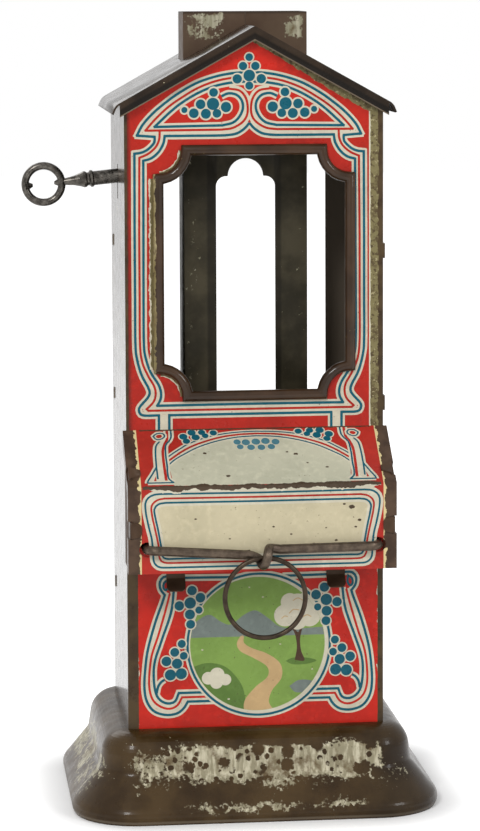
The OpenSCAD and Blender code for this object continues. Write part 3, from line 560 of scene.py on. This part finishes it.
class InkSheet:  # gathers slabs of ink on one flat sheet into one piece
    def __init__(self, name, toSpace, shift=0.0, tones=None):
        self.name, self.toSpace, self.shift, self.tones = name, toSpace, shift, tones or {}
        self.mesh, self.inkNames, self.layers = bmesh.new(), [], 0

    def height(self):
        self.layers += 1
        return slabSet["top"] + slabSet["step"] * self.layers

    def corner(self, point, height):
        return self.mesh.verts.new(self.toSpace(point[0] + self.shift, point[1], height))

    def close(self, faces, ink):
        ink = self.tones.get(ink, ink)  # the sheet's darker copy of a colour, painted shade for where the sheet sits
        if ink not in self.inkNames:
            self.inkNames.append(ink)
        for corners in faces:
            self.mesh.faces.new(corners).material_index = self.inkNames.index(ink)

    def slab(self, left, right, ink, closed=False):  # between two matching lines
        top, sunk = self.height(), slabSet["sunk"]
        rows = [[self.corner(p, h) for p, h in ((a, top), (b, top), (b, sunk), (a, sunk))]
                for a, b in zip(left, right)]
        pairs = list(zip(rows, rows[1:])) + ([(rows[-1], rows[0])] if closed else [])
        faces = [(low[k], low[(k + 1) % 4], high[(k + 1) % 4], high[k])
                 for low, high in pairs for k in range(4)]
        if not closed:
            faces += [tuple(reversed(rows[0])), tuple(rows[-1])]
        self.close(faces, ink)

    def line(self, points, width, ink, closed=False):
        left, right, count = [], [], len(points)
        for k, p in enumerate(points):
            before = points[k - 1] if k or closed else p
            after = points[(k + 1) % count] if k < count - 1 or closed else p
            a, b = (p - before), (after - p)
            a = (a if a.length > 1e-6 else b).normalized()
            b = (b if b.length > 1e-6 else a).normalized()
            tilt = (a + b).normalized() if (a + b).length > 1e-4 else a
            side = Vector((-tilt.y, tilt.x))
            reach = width / 2 / max(slabSet["mitre"], side.dot(Vector((-a.y, a.x))))
            left.append(p + side * reach)
            right.append(p - side * reach)
        self.slab(left, right, ink, closed)

    def fill(self, outline, ink):
        top, count = self.height(), len(outline)
        upper = [self.corner(p, top) for p in outline]
        lower = [self.corner(p, slabSet["sunk"]) for p in outline]
        faces = [tuple(upper), tuple(reversed(lower))]
        faces += [(upper[k], lower[k], lower[(k + 1) % count], upper[(k + 1) % count])
                  for k in range(count)]
        self.close(faces, ink)

    def ragged(self, low, high, ink, jag, seed, step=0.35):  # a worn strip between two lines of points
        left, right = [], []
        low, high = ([Vector(p) for p in points] for points in (low, high))
        for k in range(len(low) - 1):
            count = max(2, int((low[k + 1] - low[k]).length / step))
            for n in range(count):
                a, b = (points[k].lerp(points[k + 1], n / count) for points in (low, high))
                spot = Vector((a.x * jagSet["pitch"] + seed, a.y * jagSet["pitch"], seed))
                push = sum(noise.noise(spot * often) * share for often, share in jagSet["waves"])
                left.append(a)
                right.append(b + (b - a).normalized() * jag * push)
        self.slab(left, right, ink)

    def chips(self, spots, ink="worn"):  # small irregular flecks
        for x, z, radius in spots:
            outline = []
            for k in range(chipSet["corners"]):
                a = 2 * math.pi * k / chipSet["corners"]
                c, s = math.cos(a), math.sin(a)
                wide = 1 + chipSet["wide"] * noise.noise(Vector((x + 3 * c, z, 3 * s)))
                tall = 1 + chipSet["tall"] * noise.noise(Vector((x, z + 3 * c, 5 * s)))
                outline.append(Vector((x + radius * c * wide, z + chipSet["flat"] * radius * s * tall)))
            self.fill(outline, ink)

    def berries(self, spots, ink="blue", halo=0.5):
        for x, z, radius in spots:
            self.fill(roundDot((x, z), radius + halo), "cream")
        for x, z, radius in spots:
            self.fill(roundDot((x, z), radius), ink)

    def make(self, body):
        bmesh.ops.recalc_face_normals(self.mesh, faces=self.mesh.faces[:])
        data = bpy.data.meshes.new(self.name)
        self.mesh.to_mesh(data)
        self.mesh.free()
        for ink in self.inkNames:
            data.materials.append(makeInk(ink))
        piece = bpy.data.objects.new(self.name, data)
        scene.collection.objects.link(piece)
        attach(piece, body)


def onFront(x, z, height):
    return Vector((x, sheets["frontY"] - height, sheets["deckZ"] + z)) * mm


def onHoodFront(x, z, height):
    return Vector((x, sheets["hoodY"] - height, sheets["deckZ"] + z)) * mm


rise = sheets["hoodTopZ"] - sheets["foldZ"]
run = sheets["hoodTopY"] - sheets["hoodY"]
slopeLength = math.hypot(rise, run)


def onHoodSlope(x, up, height):  # up is measured along the slope from the fold
    y = sheets["hoodY"] + up * run / slopeLength - height * rise / slopeLength
    z = sheets["deckZ"] + sheets["foldZ"] + up * rise / slopeLength + height * run / slopeLength
    return Vector((x, y, z)) * mm


# widths of the bands; lap is how far a run reaches past a corner, as a share of its width
lineSet = {"blue": 0.8, "red": 0.7, "cream": 2.1, "creamBlue": 2.1, "creamRed": 2.3, "lap": 0.35}


def bandRuns(parts, width):  # each run with its inner ends let out a little, so that corners close
    reach = width * lineSet["lap"]
    for k, run in enumerate(parts):
        points = smoothLine([run])
        if k > 0:
            points[0] = points[0] + (points[0] - points[1]).normalized() * reach
        if k < len(parts) - 1:
            points[-1] = points[-1] + (points[-1] - points[-2]).normalized() * reach
        yield points


def drawBands(sheet, values, blueNames, redNames, widths=lineSet):
    runs = [(name, "blue") for name in blueNames] + [(name, "red") for name in redNames]
    sides = [(side, ink) for name, ink in runs for side in (values[name], flipped(values[name]))]
    for parts, ink in sides:
        for points in bandRuns(parts, widths["cream"]):
            sheet.line(points, widths["cream" + ink.capitalize()], "cream")
    for parts, ink in sides:
        for points in bandRuns(parts, widths[ink]):
            sheet.line(points, widths[ink], ink)


upperSet = {
    "shift": -1.45, "post": [(25.2, 93.7), (28.4, 93.7), (28.4, 98.5), (25.2, 98.5)], "topHalo": 0.4,
    "wear": ((1.15, "cream", 1.0), (0.75, "gold", 5.0)), "wearUnder": 1.2, "wearJag": 0.6,
    "scoopUnder": 0.5, "scoopShare": 0.6, "scoopJag": 0.45,
    "archOuter": [[(0, 203.7), (5.4, 203.3), (10.6, 202.3), (16.2, 200.4), (21.5, 197.5), (25.5, 194.7),
        (29.4, 191.5), (32.8, 187.8), (34.6, 184.5)], [(34.6, 184.5), (29.2, 184.1)], [(29.2, 184.1),
        (29.3, 182.3), (31.2, 180.3), (33.2, 179.3), (35.4, 179)], [(35.4, 179), (35.5, 154)], [(35.5, 154),
        (35.5, 135.5), (35.5, 121), (35.1, 116.1), (33.7, 110.9), (31.7, 107), (31.2, 105.1), (32, 103.5),
        (34.1, 101.2), (34.6, 99.9), (34, 98.6), (32.6, 98.2), (30.5, 98.2)], [(30.5, 98.2), (28.4, 98.2)],
        [(28.4, 98.2), (28.4, 93.7)]],
    "archRed": [[(0, 202.3), (5.3, 201.9), (10.5, 200.9), (15.8, 198.9), (20.5, 196.2), (25, 193.1),
        (29, 189.4), (32, 186)], [(32, 186), (8.4, 186.1)], [(8.4, 186.1), (5.1, 186.6), (2.2, 188.3),
        (0.8, 190.3), (0.5, 192.9), (1.1, 195.8), (3, 198), (6.2, 198.6)]],
    "archInner": [[(0, 200.8), (5.2, 200.5), (10.4, 199.5), (15.5, 197.5), (20.2, 194.8), (23.8, 192.1),
        (27.3, 188.9), (29.2, 187.1)], [(29.2, 187.1), (8.4, 187.4)], [(8.4, 187.4), (5.1, 188.2),
        (3.1, 190), (2, 192.5), (2.3, 194.9), (3.9, 196.7), (6.4, 197.2), (8.6, 196.3)]],
    "surroundRed": [[(27.6, 186), (27.8, 183.2), (28.9, 180.9), (31.2, 178.9), (33.9, 177.7)],
        [(33.9, 177.7), (34.1, 154)], [(34.1, 154), (34.1, 135.5), (34.1, 121), (33.5, 115.1),
        (31.8, 110.8), (29.7, 107), (29.4, 104.3), (30.2, 102.2), (32.2, 100.2)], [(32.2, 100.2),
        (31.6, 99.7)], [(31.6, 99.7), (0, 99.7)]],
    "surroundInner": [[(0, 188.1), (1.5, 186.4), (3.9, 184.9), (6.9, 184.4), (10, 184.3)], [(10, 184.3),
        (26.1, 184.3)], [(26.1, 184.3), (26.5, 182), (28, 179.4), (30.3, 177.5), (32.7, 176.8)],
        [(32.7, 176.8), (32.8, 154)], [(32.8, 154), (32.9, 135.5), (32.9, 121), (32.4, 116.2),
        (30.9, 111.7), (28.5, 107.8), (27.7, 105.2), (27.9, 103.1), (28.9, 101.2)], [(28.9, 101.2),
        (0, 101.3)]],
    "sill": [[(25.2, 93.7), (25.2, 98.2)], [(25.2, 98.2), (0, 98.2)]],
    "frameEdge": [(-29.9, 112.5), (-29.9, 125.5), (-29.9, 140.5), (-29.9, 155.5), (-29.9, 171.5)],
    "lowScoop": (-28.2, 103.95), "highScoop": (-28.2, 179.85), "scoop": 7.0,
    "sideBerries": [(20, 192.2, 0.95), (17.1, 191.2, 1.5), (13.4, 191, 1.55), (10, 191.1, 1.35),
        (7.2, 193, 1.6), (11.2, 194, 1.9), (15, 193.9, 1.5), (11, 197.5, 1.35)],
    "topBerries": [(0, 208.2, 1.2), (-1.9, 205.5, 1.3), (1.9, 205.5, 1.3), (0, 202.6, 1.8),
        (-3.7, 201.6, 1.45), (3.7, 201.6, 1.45), (0, 199.5, 1.25)]}

# the upper print's red and cream are the darker copies: painted shade on the upper panel
upper = InkSheet("upper_print", onFront, upperSet["shift"], {"red": "paintedShadeUpperRed", "cream": "paintedShadeUpperCream"})
for side in (1, -1):  # cream under the corner posts
    upper.fill(onSide(side, upperSet["post"]), "cream")
drawBands(upper, upperSet, ("archOuter", "archInner", "surroundInner", "sill"), ("archRed", "surroundRed"))
for side in (1, -1):
    upper.berries(dotsOnSide(side, upperSet["sideBerries"]))
upper.berries(upperSet["topBerries"], "blue", upperSet["topHalo"])
frameLine = smoothLine([upperSet["frameEdge"]], 0.5)
for width, ink, seed in upperSet["wear"]:  # worn print along the window frame's left edge
    upper.ragged([p + Vector((upperSet["wearUnder"], 0)) for p in frameLine],
                 [p - Vector((width, 0)) for p in frameLine], ink, upperSet["wearJag"], seed)
    radii = upperSet["scoop"] + upperSet["scoopUnder"], upperSet["scoop"] - upperSet["scoopShare"] * width
    for corner, turn in ((upperSet["lowScoop"], 90), (upperSet["highScoop"], -90)):
        angles = [math.radians(turn * k / 12) for k in range(13)]
        low, high = ([Vector((corner[0] + r * math.cos(a), corner[1] + r * math.sin(a))) for a in angles]
                     for r in radii)
        upper.ragged(low, high, ink, upperSet["scoopJag"], seed)
upper.make("cabinet")
print("upper print done")

hoodSet = {
    "widths": {"blue": 0.6, "red": 0.6}, "overFold": 0.02, "wearScale": 1.3, "jag": 0.8,
    "wearInks": ((0.35, "cream", 4.0), (0.0, "worn", 7.0)),
    "outer": [[(0, 76.9), (31, 77.1)], [(31, 77.1), (33.2, 76.9), (34.9, 76), (35.8, 74.3), (35.6, 71),
        (34.7, 66.6), (34, 63.7), (33.6, 60.3), (33.4, 56.7), (32.6, 55.3), (31.2, 54.6), (28, 54.5)],
        [(28, 54.5), (0, 54.5)]],
    "red": [[(0, 75.6), (30, 75.7)], [(30, 75.7), (32.3, 75.2), (33.9, 73.5), (33.8, 70.6), (32.9, 66.3),
        (31.9, 61.3), (31.6, 57.5), (30.2, 56.1), (27, 55.9)], [(27, 55.9), (0, 55.9)]],
    "inner": [[(0, 74.3), (29.5, 74.4)], [(29.5, 74.4), (31.8, 74), (33.1, 72.5), (32.8, 69.9),
        (31.9, 65.6), (31.1, 60.9), (30.7, 58.1), (29.4, 57.2), (26, 57.2)], [(26, 57.2), (0, 57.2)]],
    "wear": [(-36.6, 0.3), (-33, 0.6), (-28, 1.1), (-25.2, 1.3), (-24, 0.6), (-18, 0.7), (-12, 0.8),
        (-4, 0.7), (4, 0.9), (12, 0.7), (20, 0.9), (26, 1.0), (31, 0.6), (36.6, 0.3)],
    "chips": [(27.2, 71.9, 1.0), (24.9, 72.8, 0.5), (29.6, 67.8, 0.6), (28.4, 65.7, 0.45), (8.6, 63.9, 0.4),
        (-10.2, 62.9, 0.35), (15.5, 60.7, 0.6), (22.4, 61.7, 0.5), (3.2, 66.3, 0.4), (-20.6, 69.2, 0.4),
        (-4.4, 59.1, 0.5), (19.3, 65.6, 0.3)]}

# its red is the darker copy: painted shade on the hood's front
hoodFront = InkSheet("hood_front_print", onHoodFront, 0.0, {"red": "paintedShadeHoodRed"})
fieldLine = smoothLine(hoodSet["outer"])
hoodFront.fill(fieldLine + onSide(-1, reversed(fieldLine[1:-1])), "paper")
drawBands(hoodFront, hoodSet, ("outer", "inner"), ("red",), dict(lineSet, **hoodSet["widths"]))
foldLine = [(x, sheets["foldZ"] + hoodSet["overFold"]) for x, deep in hoodSet["wear"]]
for extra, ink, seed in hoodSet["wearInks"]:
    wearLine = [(x, sheets["foldZ"] - hoodSet["wearScale"] * deep - extra) for x, deep in hoodSet["wear"]]
    hoodFront.ragged(foldLine, wearLine, ink, hoodSet["jag"], seed)
hoodFront.chips(hoodSet["chips"])
hoodFront.make("cabinet")
print("hood front print done")

slopeSet = {  # second number is the way up the slope from the fold
    "widths": {"blue": 0.5, "red": 0.75, "cream": 1.5, "creamBlue": 1.5, "creamRed": 1.5},
    "rimCream": 1.7, "rimBlue": 0.55, "stripeRed": 0.85, "loopCream": 1.5, "loopBlue": 0.5, "heart": 0.55,
    "halo": 0.35, "middleHalo": 0.15, "over": 0.02, "jag": 0.5, "seam": 0.5, "seamJag": 0.35,
    "fieldFoot": (27.0, 0.5),
    "archOuter": [[(28.1, 12.8), (26.1, 14.6), (23.5, 16.7), (20.9, 18.6), (15.8, 20.9), (11.8, 22.1),
        (6, 23), (0, 23.3)]],
    "archRed": [[(27.6, 11.5), (23.5, 15.1), (19.1, 17.9), (12.7, 20.5), (6.4, 21.9), (0, 22.3)]],
    "archInner": [[(28, 9.5), (25.7, 11.9), (22.4, 14.3), (18.5, 16.8), (12.8, 19.2), (6.4, 20.8),
        (0, 21.3)]],
    "postOut": [(30, 19.7), (31.3, 17.6), (31.7, 13.7), (31.8, 8.6)],
    "footOut": [(31.8, 8.6), (33.3, 5.5), (34.8, 2.7), (34.9, 1.9)], "foot": [(34.9, 1.9), (26.9, 1.9)],
    "postIn": [(26.9, 1.9), (28.3, 3.4), (28.6, 6), (28.5, 9), (28.6, 13.6), (28.3, 17.9), (27.2, 19.6),
        (26.4, 21.4), (26.3, 24.6)],
    "postSide": [(31.8, 8.6), (31.7, 3.5)],
    "stripe": [(27.5, 24.4), (27.7, 20.4), (28.5, 18.7), (29.4, 15), (29.4, 8.5), (29.2, 2.8)],
    "footRed": [(33, 2.7), (32.2, 4.9), (32.2, 2.7)], "top": [(28.6, 24.6), (28.7, 21.2)],
    "loop": [(31.8, 22), (30.6, 23.1), (28.8, 23), (28.4, 21.6), (30, 20.4), (31.3, 20.8)],
    "berries": [(22.6, 21.5, 1.3), (19.9, 23.2, 1.3), (16.8, 23.2, 1.15), (13.2, 22.9, 1.15),
        (18.8, 21.1, 1.3), (15.8, 21.7, 1.05), (21.8, 19.5, 1.15)],
    "middleBerries": [(-6.2, 18.7, 1.15), (-3.5, 18.5, 1.3), (-0.4, 18.7, 1.35), (2.6, 18.9, 1.35),
        (5.7, 18.5, 1.25), (-5.4, 16.6, 1.05), (-2.1, 16.3, 1.2), (1.1, 16.2, 1.2), (4.2, 16.4, 1.15)],
    "wear": [(-36.6, 0.3), (-28.4, 0.7), (-23.6, 0.3), (-19.9, 0.8), (-17.7, 1.2), (-16, 0.5), (-14.5, 1.0),
        (-12.7, 0.4), (-6, 0.4), (-3, 1.0), (0, 0.3), (7, 0.5), (12, 1.0), (17, 0.5), (22, 1.1), (27, 0.8),
        (32, 0.9), (36.6, 0.3)],
    "chips": [(-16.6, 14.1, 0.6), (11.4, 13.1, 0.7), (8.8, 14, 0.4), (14.6, 9.2, 0.35), (-10.2, 4.2, 0.7),
        (20.5, 7.2, 0.5)]}

# its red is the darker copy: painted shade on the hood's slope
slope = InkSheet("hood_slope_print", onHoodSlope, 0.0, {"red": "paintedShadeHoodRed"})
fieldLine = smoothLine(slopeSet["archInner"])
foot = [slopeSet["fieldFoot"]]
slope.fill(onSide(1, foot) + fieldLine + onSide(-1, fieldLine[-2::-1] + foot), "slopePaper")
slopeWidths = dict(lineSet, **slopeSet["widths"])
drawBands(slope, slopeSet, ("archOuter", "archInner"), ("archRed",), slopeWidths)
rim = [smoothLine([slopeSet[name]]) for name in ("postOut", "footOut", "foot", "postIn")]
outline = [p for part in rim for p in part] + slopeSet["top"]
for side in (1, -1):
    slope.berries(dotsOnSide(side, slopeSet["berries"]), "blue", slopeSet["halo"])
    for part in rim:
        slope.line(onSide(side, part), slopeSet["rimCream"], "cream")
    slope.fill(onSide(side, outline), "cream")
    slope.fill(onSide(side, slopeSet["footRed"]), "red")
    slope.line(onSide(side, smoothLine([slopeSet["stripe"]])), slopeSet["stripeRed"], "red")
    for part in rim + [slopeSet["postSide"]]:
        slope.line(onSide(side, part), slopeSet["rimBlue"], "blue")
    loop = onSide(side, closedLine(slopeSet["loop"]))
    heart = sum(loop, Vector((0, 0))) / len(loop)
    slope.line(loop, slopeSet["loopCream"], "cream", True)
    slope.fill(loop, "cream")
    slope.fill([heart + (p - heart) * slopeSet["heart"] for p in loop], "red")
    slope.line(loop, slopeSet["loopBlue"], "blue", True)
slope.berries(slopeSet["middleBerries"], "paleBlue", slopeSet["middleHalo"])
foldLine = [(x, -slopeSet["over"]) for x, deep in slopeSet["wear"]]
slope.ragged(foldLine, slopeSet["wear"], "worn", slopeSet["jag"], 2.0)
seam = ([(x, slopeLength - slopeSet[name]) for x in range(-36, 37, 4)] for name in ("over", "seam"))
slope.ragged(*seam, "worn", slopeSet["seamJag"], 9.0)  # painted shade along the seam at the wall, drawn in the worn ink
slope.chips(slopeSet["chips"])
slope.make("cabinet")
print("hood slope print done")

lowerSet = {
    "outer": [[(7.6, 47.1), (25, 47.3)], [(25, 47.3), (27.6, 47.9), (29.6, 47.6), (30.7, 46.1),
        (30.5, 43.9), (29.2, 42)], [(29.2, 42), (29.9, 39.8), (32.3, 33.1), (34.6, 24.7), (35.5, 17.9),
        (35.7, 12.8), (35, 8.7), (32.8, 5.5), (29.2, 4.2), (25.8, 4.5), (23.6, 6), (22.2, 8.2)],
        [(22.2, 8.2), (14, 8.2)]],
    "red": [[(27.6, 42.5), (29, 37.1), (31.3, 29.3), (33.4, 22.9), (34.2, 16.2), (34, 11.7), (32.8, 8.6),
        (30.4, 6.7), (27.8, 6.1), (25.5, 7.1), (24, 9.6)], [(24, 9.6), (16.8, 9.6)]],
    "inner": [[(26.4, 43), (27.3, 36.4), (30.2, 27.9), (32.4, 21.2), (32.8, 16.1), (32.2, 11.3),
        (30.8, 8.9), (28.5, 7.8), (26.2, 8.4), (25, 11)], [(25, 11), (16, 11)]],
    "hook": [[(31.9, 11.1), (31.4, 13.3), (30.4, 14.7), (29.4, 15.3)]],
    "loop": [(28.2, 46.7), (29.4, 45.8), (29.6, 44.3), (28.8, 43.5), (28, 44.8)],
    "berries": [(20.7, 43.2, 1.7), (18.1, 40.9, 1.75), (21.3, 39.3, 2.05), (24.7, 38.5, 1.7),
        (18.6, 37, 1.3), (21.4, 35.7, 1.8), (21.2, 32.6, 1.6), (24, 26.5, 1.45), (26.2, 23.9, 1.6),
        (23.4, 22.7, 1.4), (28.8, 21.1, 1.75), (25.5, 20.3, 1.85), (27.6, 16.8, 2), (24.2, 17.1, 2)],
    "middle": (0.1, 25.7), "radius": 22.3, "rim": 1.0, "sides": 96, "ringBlue": 0.75, "loopBlue": 0.7,
    "berryShare": 0.88, "halo": 0.4}

pictureSet = {  # a plain landscape: far hills, a winding path, a pond, bushes and a tree in bloom
    "centre": (-0.3, 25.9), "radius": 21.1, "limit": 21.05, "hillFoot": 28.3, "spray": 0.3,
    "hills": [(-22.6, 30.2), (-18.6, 34.0), (-15.2, 35.4), (-11.8, 33.2), (-8.6, 32.2), (-4.4, 35.2),
        (-0.8, 36.4), (3.2, 33.8), (6.6, 31.2), (12, 30.4), (21.8, 30.8)],
    "mound": [(-21.8, 18.6), (-16.4, 20.2), (-11, 19.2), (-7, 15.6), (-4.6, 10.8), (-4.8, 4.4), (-12, 4.6),
        (-18, 9.6), (-21, 14)],
    "path": [(-4.6, 3.4), (-4.4, 8.0), (-1.0, 12.2), (2.8, 15.4), (2.6, 18.6), (-1.6, 21.4), (-5.6, 23.6),
        (-6.8, 26.0), (-5.6, 28.4), (-4.6, 28.4), (-4.6, 26.4), (-2.2, 24.6), (2.8, 22.6), (6.8, 19.4),
        (7.2, 15.0), (4.2, 11.0), (3.2, 7.4), (4.4, 3.6)],
    "pond": [(9.6, 12.2), (12.6, 14.0), (16.4, 13.8), (18.6, 12.4), (15.6, 10.4), (11.6, 10.2)],
    "trunk": [(11.3, 20.4), (12.0, 24.0), (11.6, 28.0), (10.2, 31.4), (10.8, 31.8), (12.4, 29.2),
        (13.6, 32.2), (14.2, 31.9), (13.1, 27.6), (13.3, 23.6), (14.4, 20.2)],
    "shade": [(8.4, 20.2), (11, 21.2), (15.6, 21.0), (18.2, 20.0), (14.6, 19.0), (10.6, 19.1)],
    "crown": [(12.2, 37.0, 4.4), (8.4, 34.6, 3.5), (16.0, 34.4, 3.5), (12.2, 33.2, 3.2), (9.8, 38.8, 2.8),
        (14.8, 38.8, 2.9)],
    "sprays": [[(9.6, 35.2), (11, 36.4), (12.8, 36.2)], [(13.6, 33.8), (15.2, 34.6), (16.6, 34.0)],
        [(10.8, 39.2), (12.4, 40), (14, 39.2)], [(7.2, 33.6), (8.2, 34.4), (9.2, 34.2)]],
    "bushes": [(-15.8, 15.4, 2.0), (-13.0, 16.4, 2.3), (-10.4, 14.8, 1.8), (-13.2, 14.0, 2.0)],
    "flecks": [(-17.6, 24.4, 0.35), (6.8, 25.6, 0.3), (-9.4, 8.6, 0.4), (1.4, 40.6, 0.35),
        (16.8, 17.4, 0.3), (-2.8, 43.8, 0.3)]}


def insideRing(points):  # keeps the picture inside its ring
    centre, limit = Vector(pictureSet["centre"]), pictureSet["limit"]
    ways = [Vector(p) - centre for p in points]
    return [centre + (way * (limit / way.length) if way.length > limit else way) for way in ways]


lower = InkSheet("lower_print", onFront, panelSet["lowShift"])
drawBands(lower, lowerSet, ("outer", "inner", "hook"), ("red",))
middle, radius, sides = lowerSet["middle"], lowerSet["radius"], lowerSet["sides"]
lower.fill(roundDot(middle, radius + lowerSet["rim"], sides), "cream")
lower.fill(roundDot(pictureSet["centre"], pictureSet["radius"], sides), "green")
hillTop = smoothLine([pictureSet["hills"]])
hillFoot = [(p.x, pictureSet["hillFoot"]) for p in hillTop]
lower.slab(insideRing(hillTop), insideRing(hillFoot), "grey")
fields = {"mound": "leaf", "path": "tan", "pond": "grey", "shade": "leaf", "trunk": "brown"}
for name, ink in fields.items():
    lower.fill(insideRing(closedLine(pictureSet[name], 0.5)), ink)
for x, z, r in pictureSet["crown"] + pictureSet["bushes"]:
    lower.fill(insideRing(roundDot((x, z), r, 40)), "cream")
for points in pictureSet["sprays"]:
    lower.line(smoothLine([points], 0.3), pictureSet["spray"], "tan")
lower.chips(pictureSet["flecks"], "cream")
lower.line(roundDot(middle, radius, sides), lowerSet["ringBlue"], "blue", True)
for side in (1, -1):
    lower.line(onSide(side, closedLine(lowerSet["loop"])), lowerSet["loopBlue"], "blue", True)
    lower.berries(dotsOnSide(side, lowerSet["berries"], lowerSet["berryShare"]), "blue", lowerSet["halo"])
lower.make("cabinet")
print("lower print done")

cameraSet = {
    "place": (-108.1, -962.8, 259.8), "turn": 6.33, "dip": 5.24, "roll": -0.23, "lens": 132.9, "sensor": 36,
    "shift": -0.193, "clip": (0.01, 20)}

turn, dip, roll = (math.radians(cameraSet[k]) for k in ("turn", "dip", "roll"))
ahead = Vector((math.sin(turn) * math.cos(dip), math.cos(turn) * math.cos(dip), -math.sin(dip)))
level = Vector((math.cos(turn), -math.sin(turn), 0))
right = level * math.cos(roll) + level.cross(ahead) * math.sin(roll)
upward = right.cross(ahead)
lens = bpy.data.cameras.new("photo_camera")
lens.lens, lens.sensor_width, lens.shift_y = cameraSet["lens"], cameraSet["sensor"], cameraSet["shift"]
lens.clip_start, lens.clip_end = cameraSet["clip"]
camera = bpy.data.objects.new("photo_camera", lens)
camera.matrix_world = Matrix((right, upward, -ahead)).transposed().to_4x4()
camera.location = Vector(cameraSet["place"]) * mm
scene.collection.objects.link(camera)
scene.camera = camera

# foot and corner give the plinth's rounded outline on the floor; near and far are ways out from it, in mm,
# over which the painted shadow fades out
roomSet = {
    "fill": 0.55, "floorHalf": 3.0, "tones": ((0.86, 0.86, 0.86), (0.90, 0.90, 0.90)), "specular": 0.1,
    "rough": (0.7, 0.8), "paintedShadowLift": 0.06, "farLift": 0.62, "near": -1.0, "far": 20.0, "foot": (57.5, 46.5),
    "corner": 22.0}


def seenRays(*kinds):  # 1 for a ray of any of these kinds
    seen = addNode("LightPath").outputs
    found = seen[kinds[0]]
    for kind in kinds[1:]:
        found = calc("MAXIMUM", found, seen[kind])
    return found


floorData = bpy.data.meshes.new("floor")
half = roomSet["floorHalf"]
floorData.from_pydata([(-half, -half, 0), (half, -half, 0), (half, half, 0), (-half, half, 0)], [],
                      [(0, 1, 2, 3)])
floor = bpy.data.objects.new("floor", floorData)
scene.collection.objects.link(floor)
material, shader = startMaterial("pale_floor", roomSet["specular"])
tone = mixColour(grain(60, 3), *roomSet["tones"])
dress(shader, tone, spread(grain(20, 2), 0.3, 0.7, *roomSet["rough"]))
shader.inputs["Emission Color"].default_value = (1, 1, 1, 1)

# painted shadow: the floor glows less beside the foot, so a darker band lies round the plinth whatever the
# lamps do
spot = place()
inset = [(v - roomSet["corner"]) * mm for v in roomSet["foot"]] + [0.0]
for operation, other in (("ABSOLUTE", (0, 0, 0)), ("SUBTRACT", inset), ("MAXIMUM", (0, 0, 0))):
    spot = addNode("VectorMath", {"operation": operation}, i0=spot, i1=other).outputs[0]
reach = addNode("VectorMath", {"operation": "LENGTH"}, i0=spot).outputs["Value"]
lift = spread(minus(reach, roomSet["corner"] * mm), roomSet["near"] * mm, roomSet["far"] * mm,
              roomSet["paintedShadowLift"], roomSet["farLift"])
seen = seenRays("Is Camera Ray", "Is Glossy Ray")
link(times(seen, lift), shader.inputs["Emission Strength"])
floorData.materials.append(material)

world = bpy.data.worlds.new("soft_room")
world.use_nodes = True
startTree(world.node_tree)
seen = seenRays("Is Camera Ray", "Is Glossy Ray", "Is Transmission Ray")
strength = spread(seen, 0.0, 1.0, roomSet["fill"], 1.0)
sky = addNode("Background", Color=(1, 1, 1, 1), Strength=strength)
link(sky.outputs[0], addNode("OutputWorld").inputs[0])
scene.world = world

lampAim = (0, 0, 0.12)  # lamps in metres
lampSet = {
    "key_lamp": {"at": (-0.55, -1.1, 0.95), "size": 0.35, "watts": 9.0},
    "side_lamp": {"at": (0.8, -0.8, 0.6), "size": 0.35, "watts": 4.0},
    "back_lamp": {"at": (-0.5, 0.9, 0.9), "size": 0.8, "watts": 4.0}}
for name, values in lampSet.items():
    data = bpy.data.lights.new(name, "AREA")
    data.shape, data.size, data.energy = "DISK", values["size"], values["watts"]
    lamp = bpy.data.objects.new(name, data)
    lamp.location = values["at"]
    lamp.rotation_euler = (Vector(lampAim) - lamp.location).to_track_quat("-Z", "Y").to_euler()
    scene.collection.objects.link(lamp)
scene.view_settings.view_transform = "Standard"
print("camera, floor and lamps set")
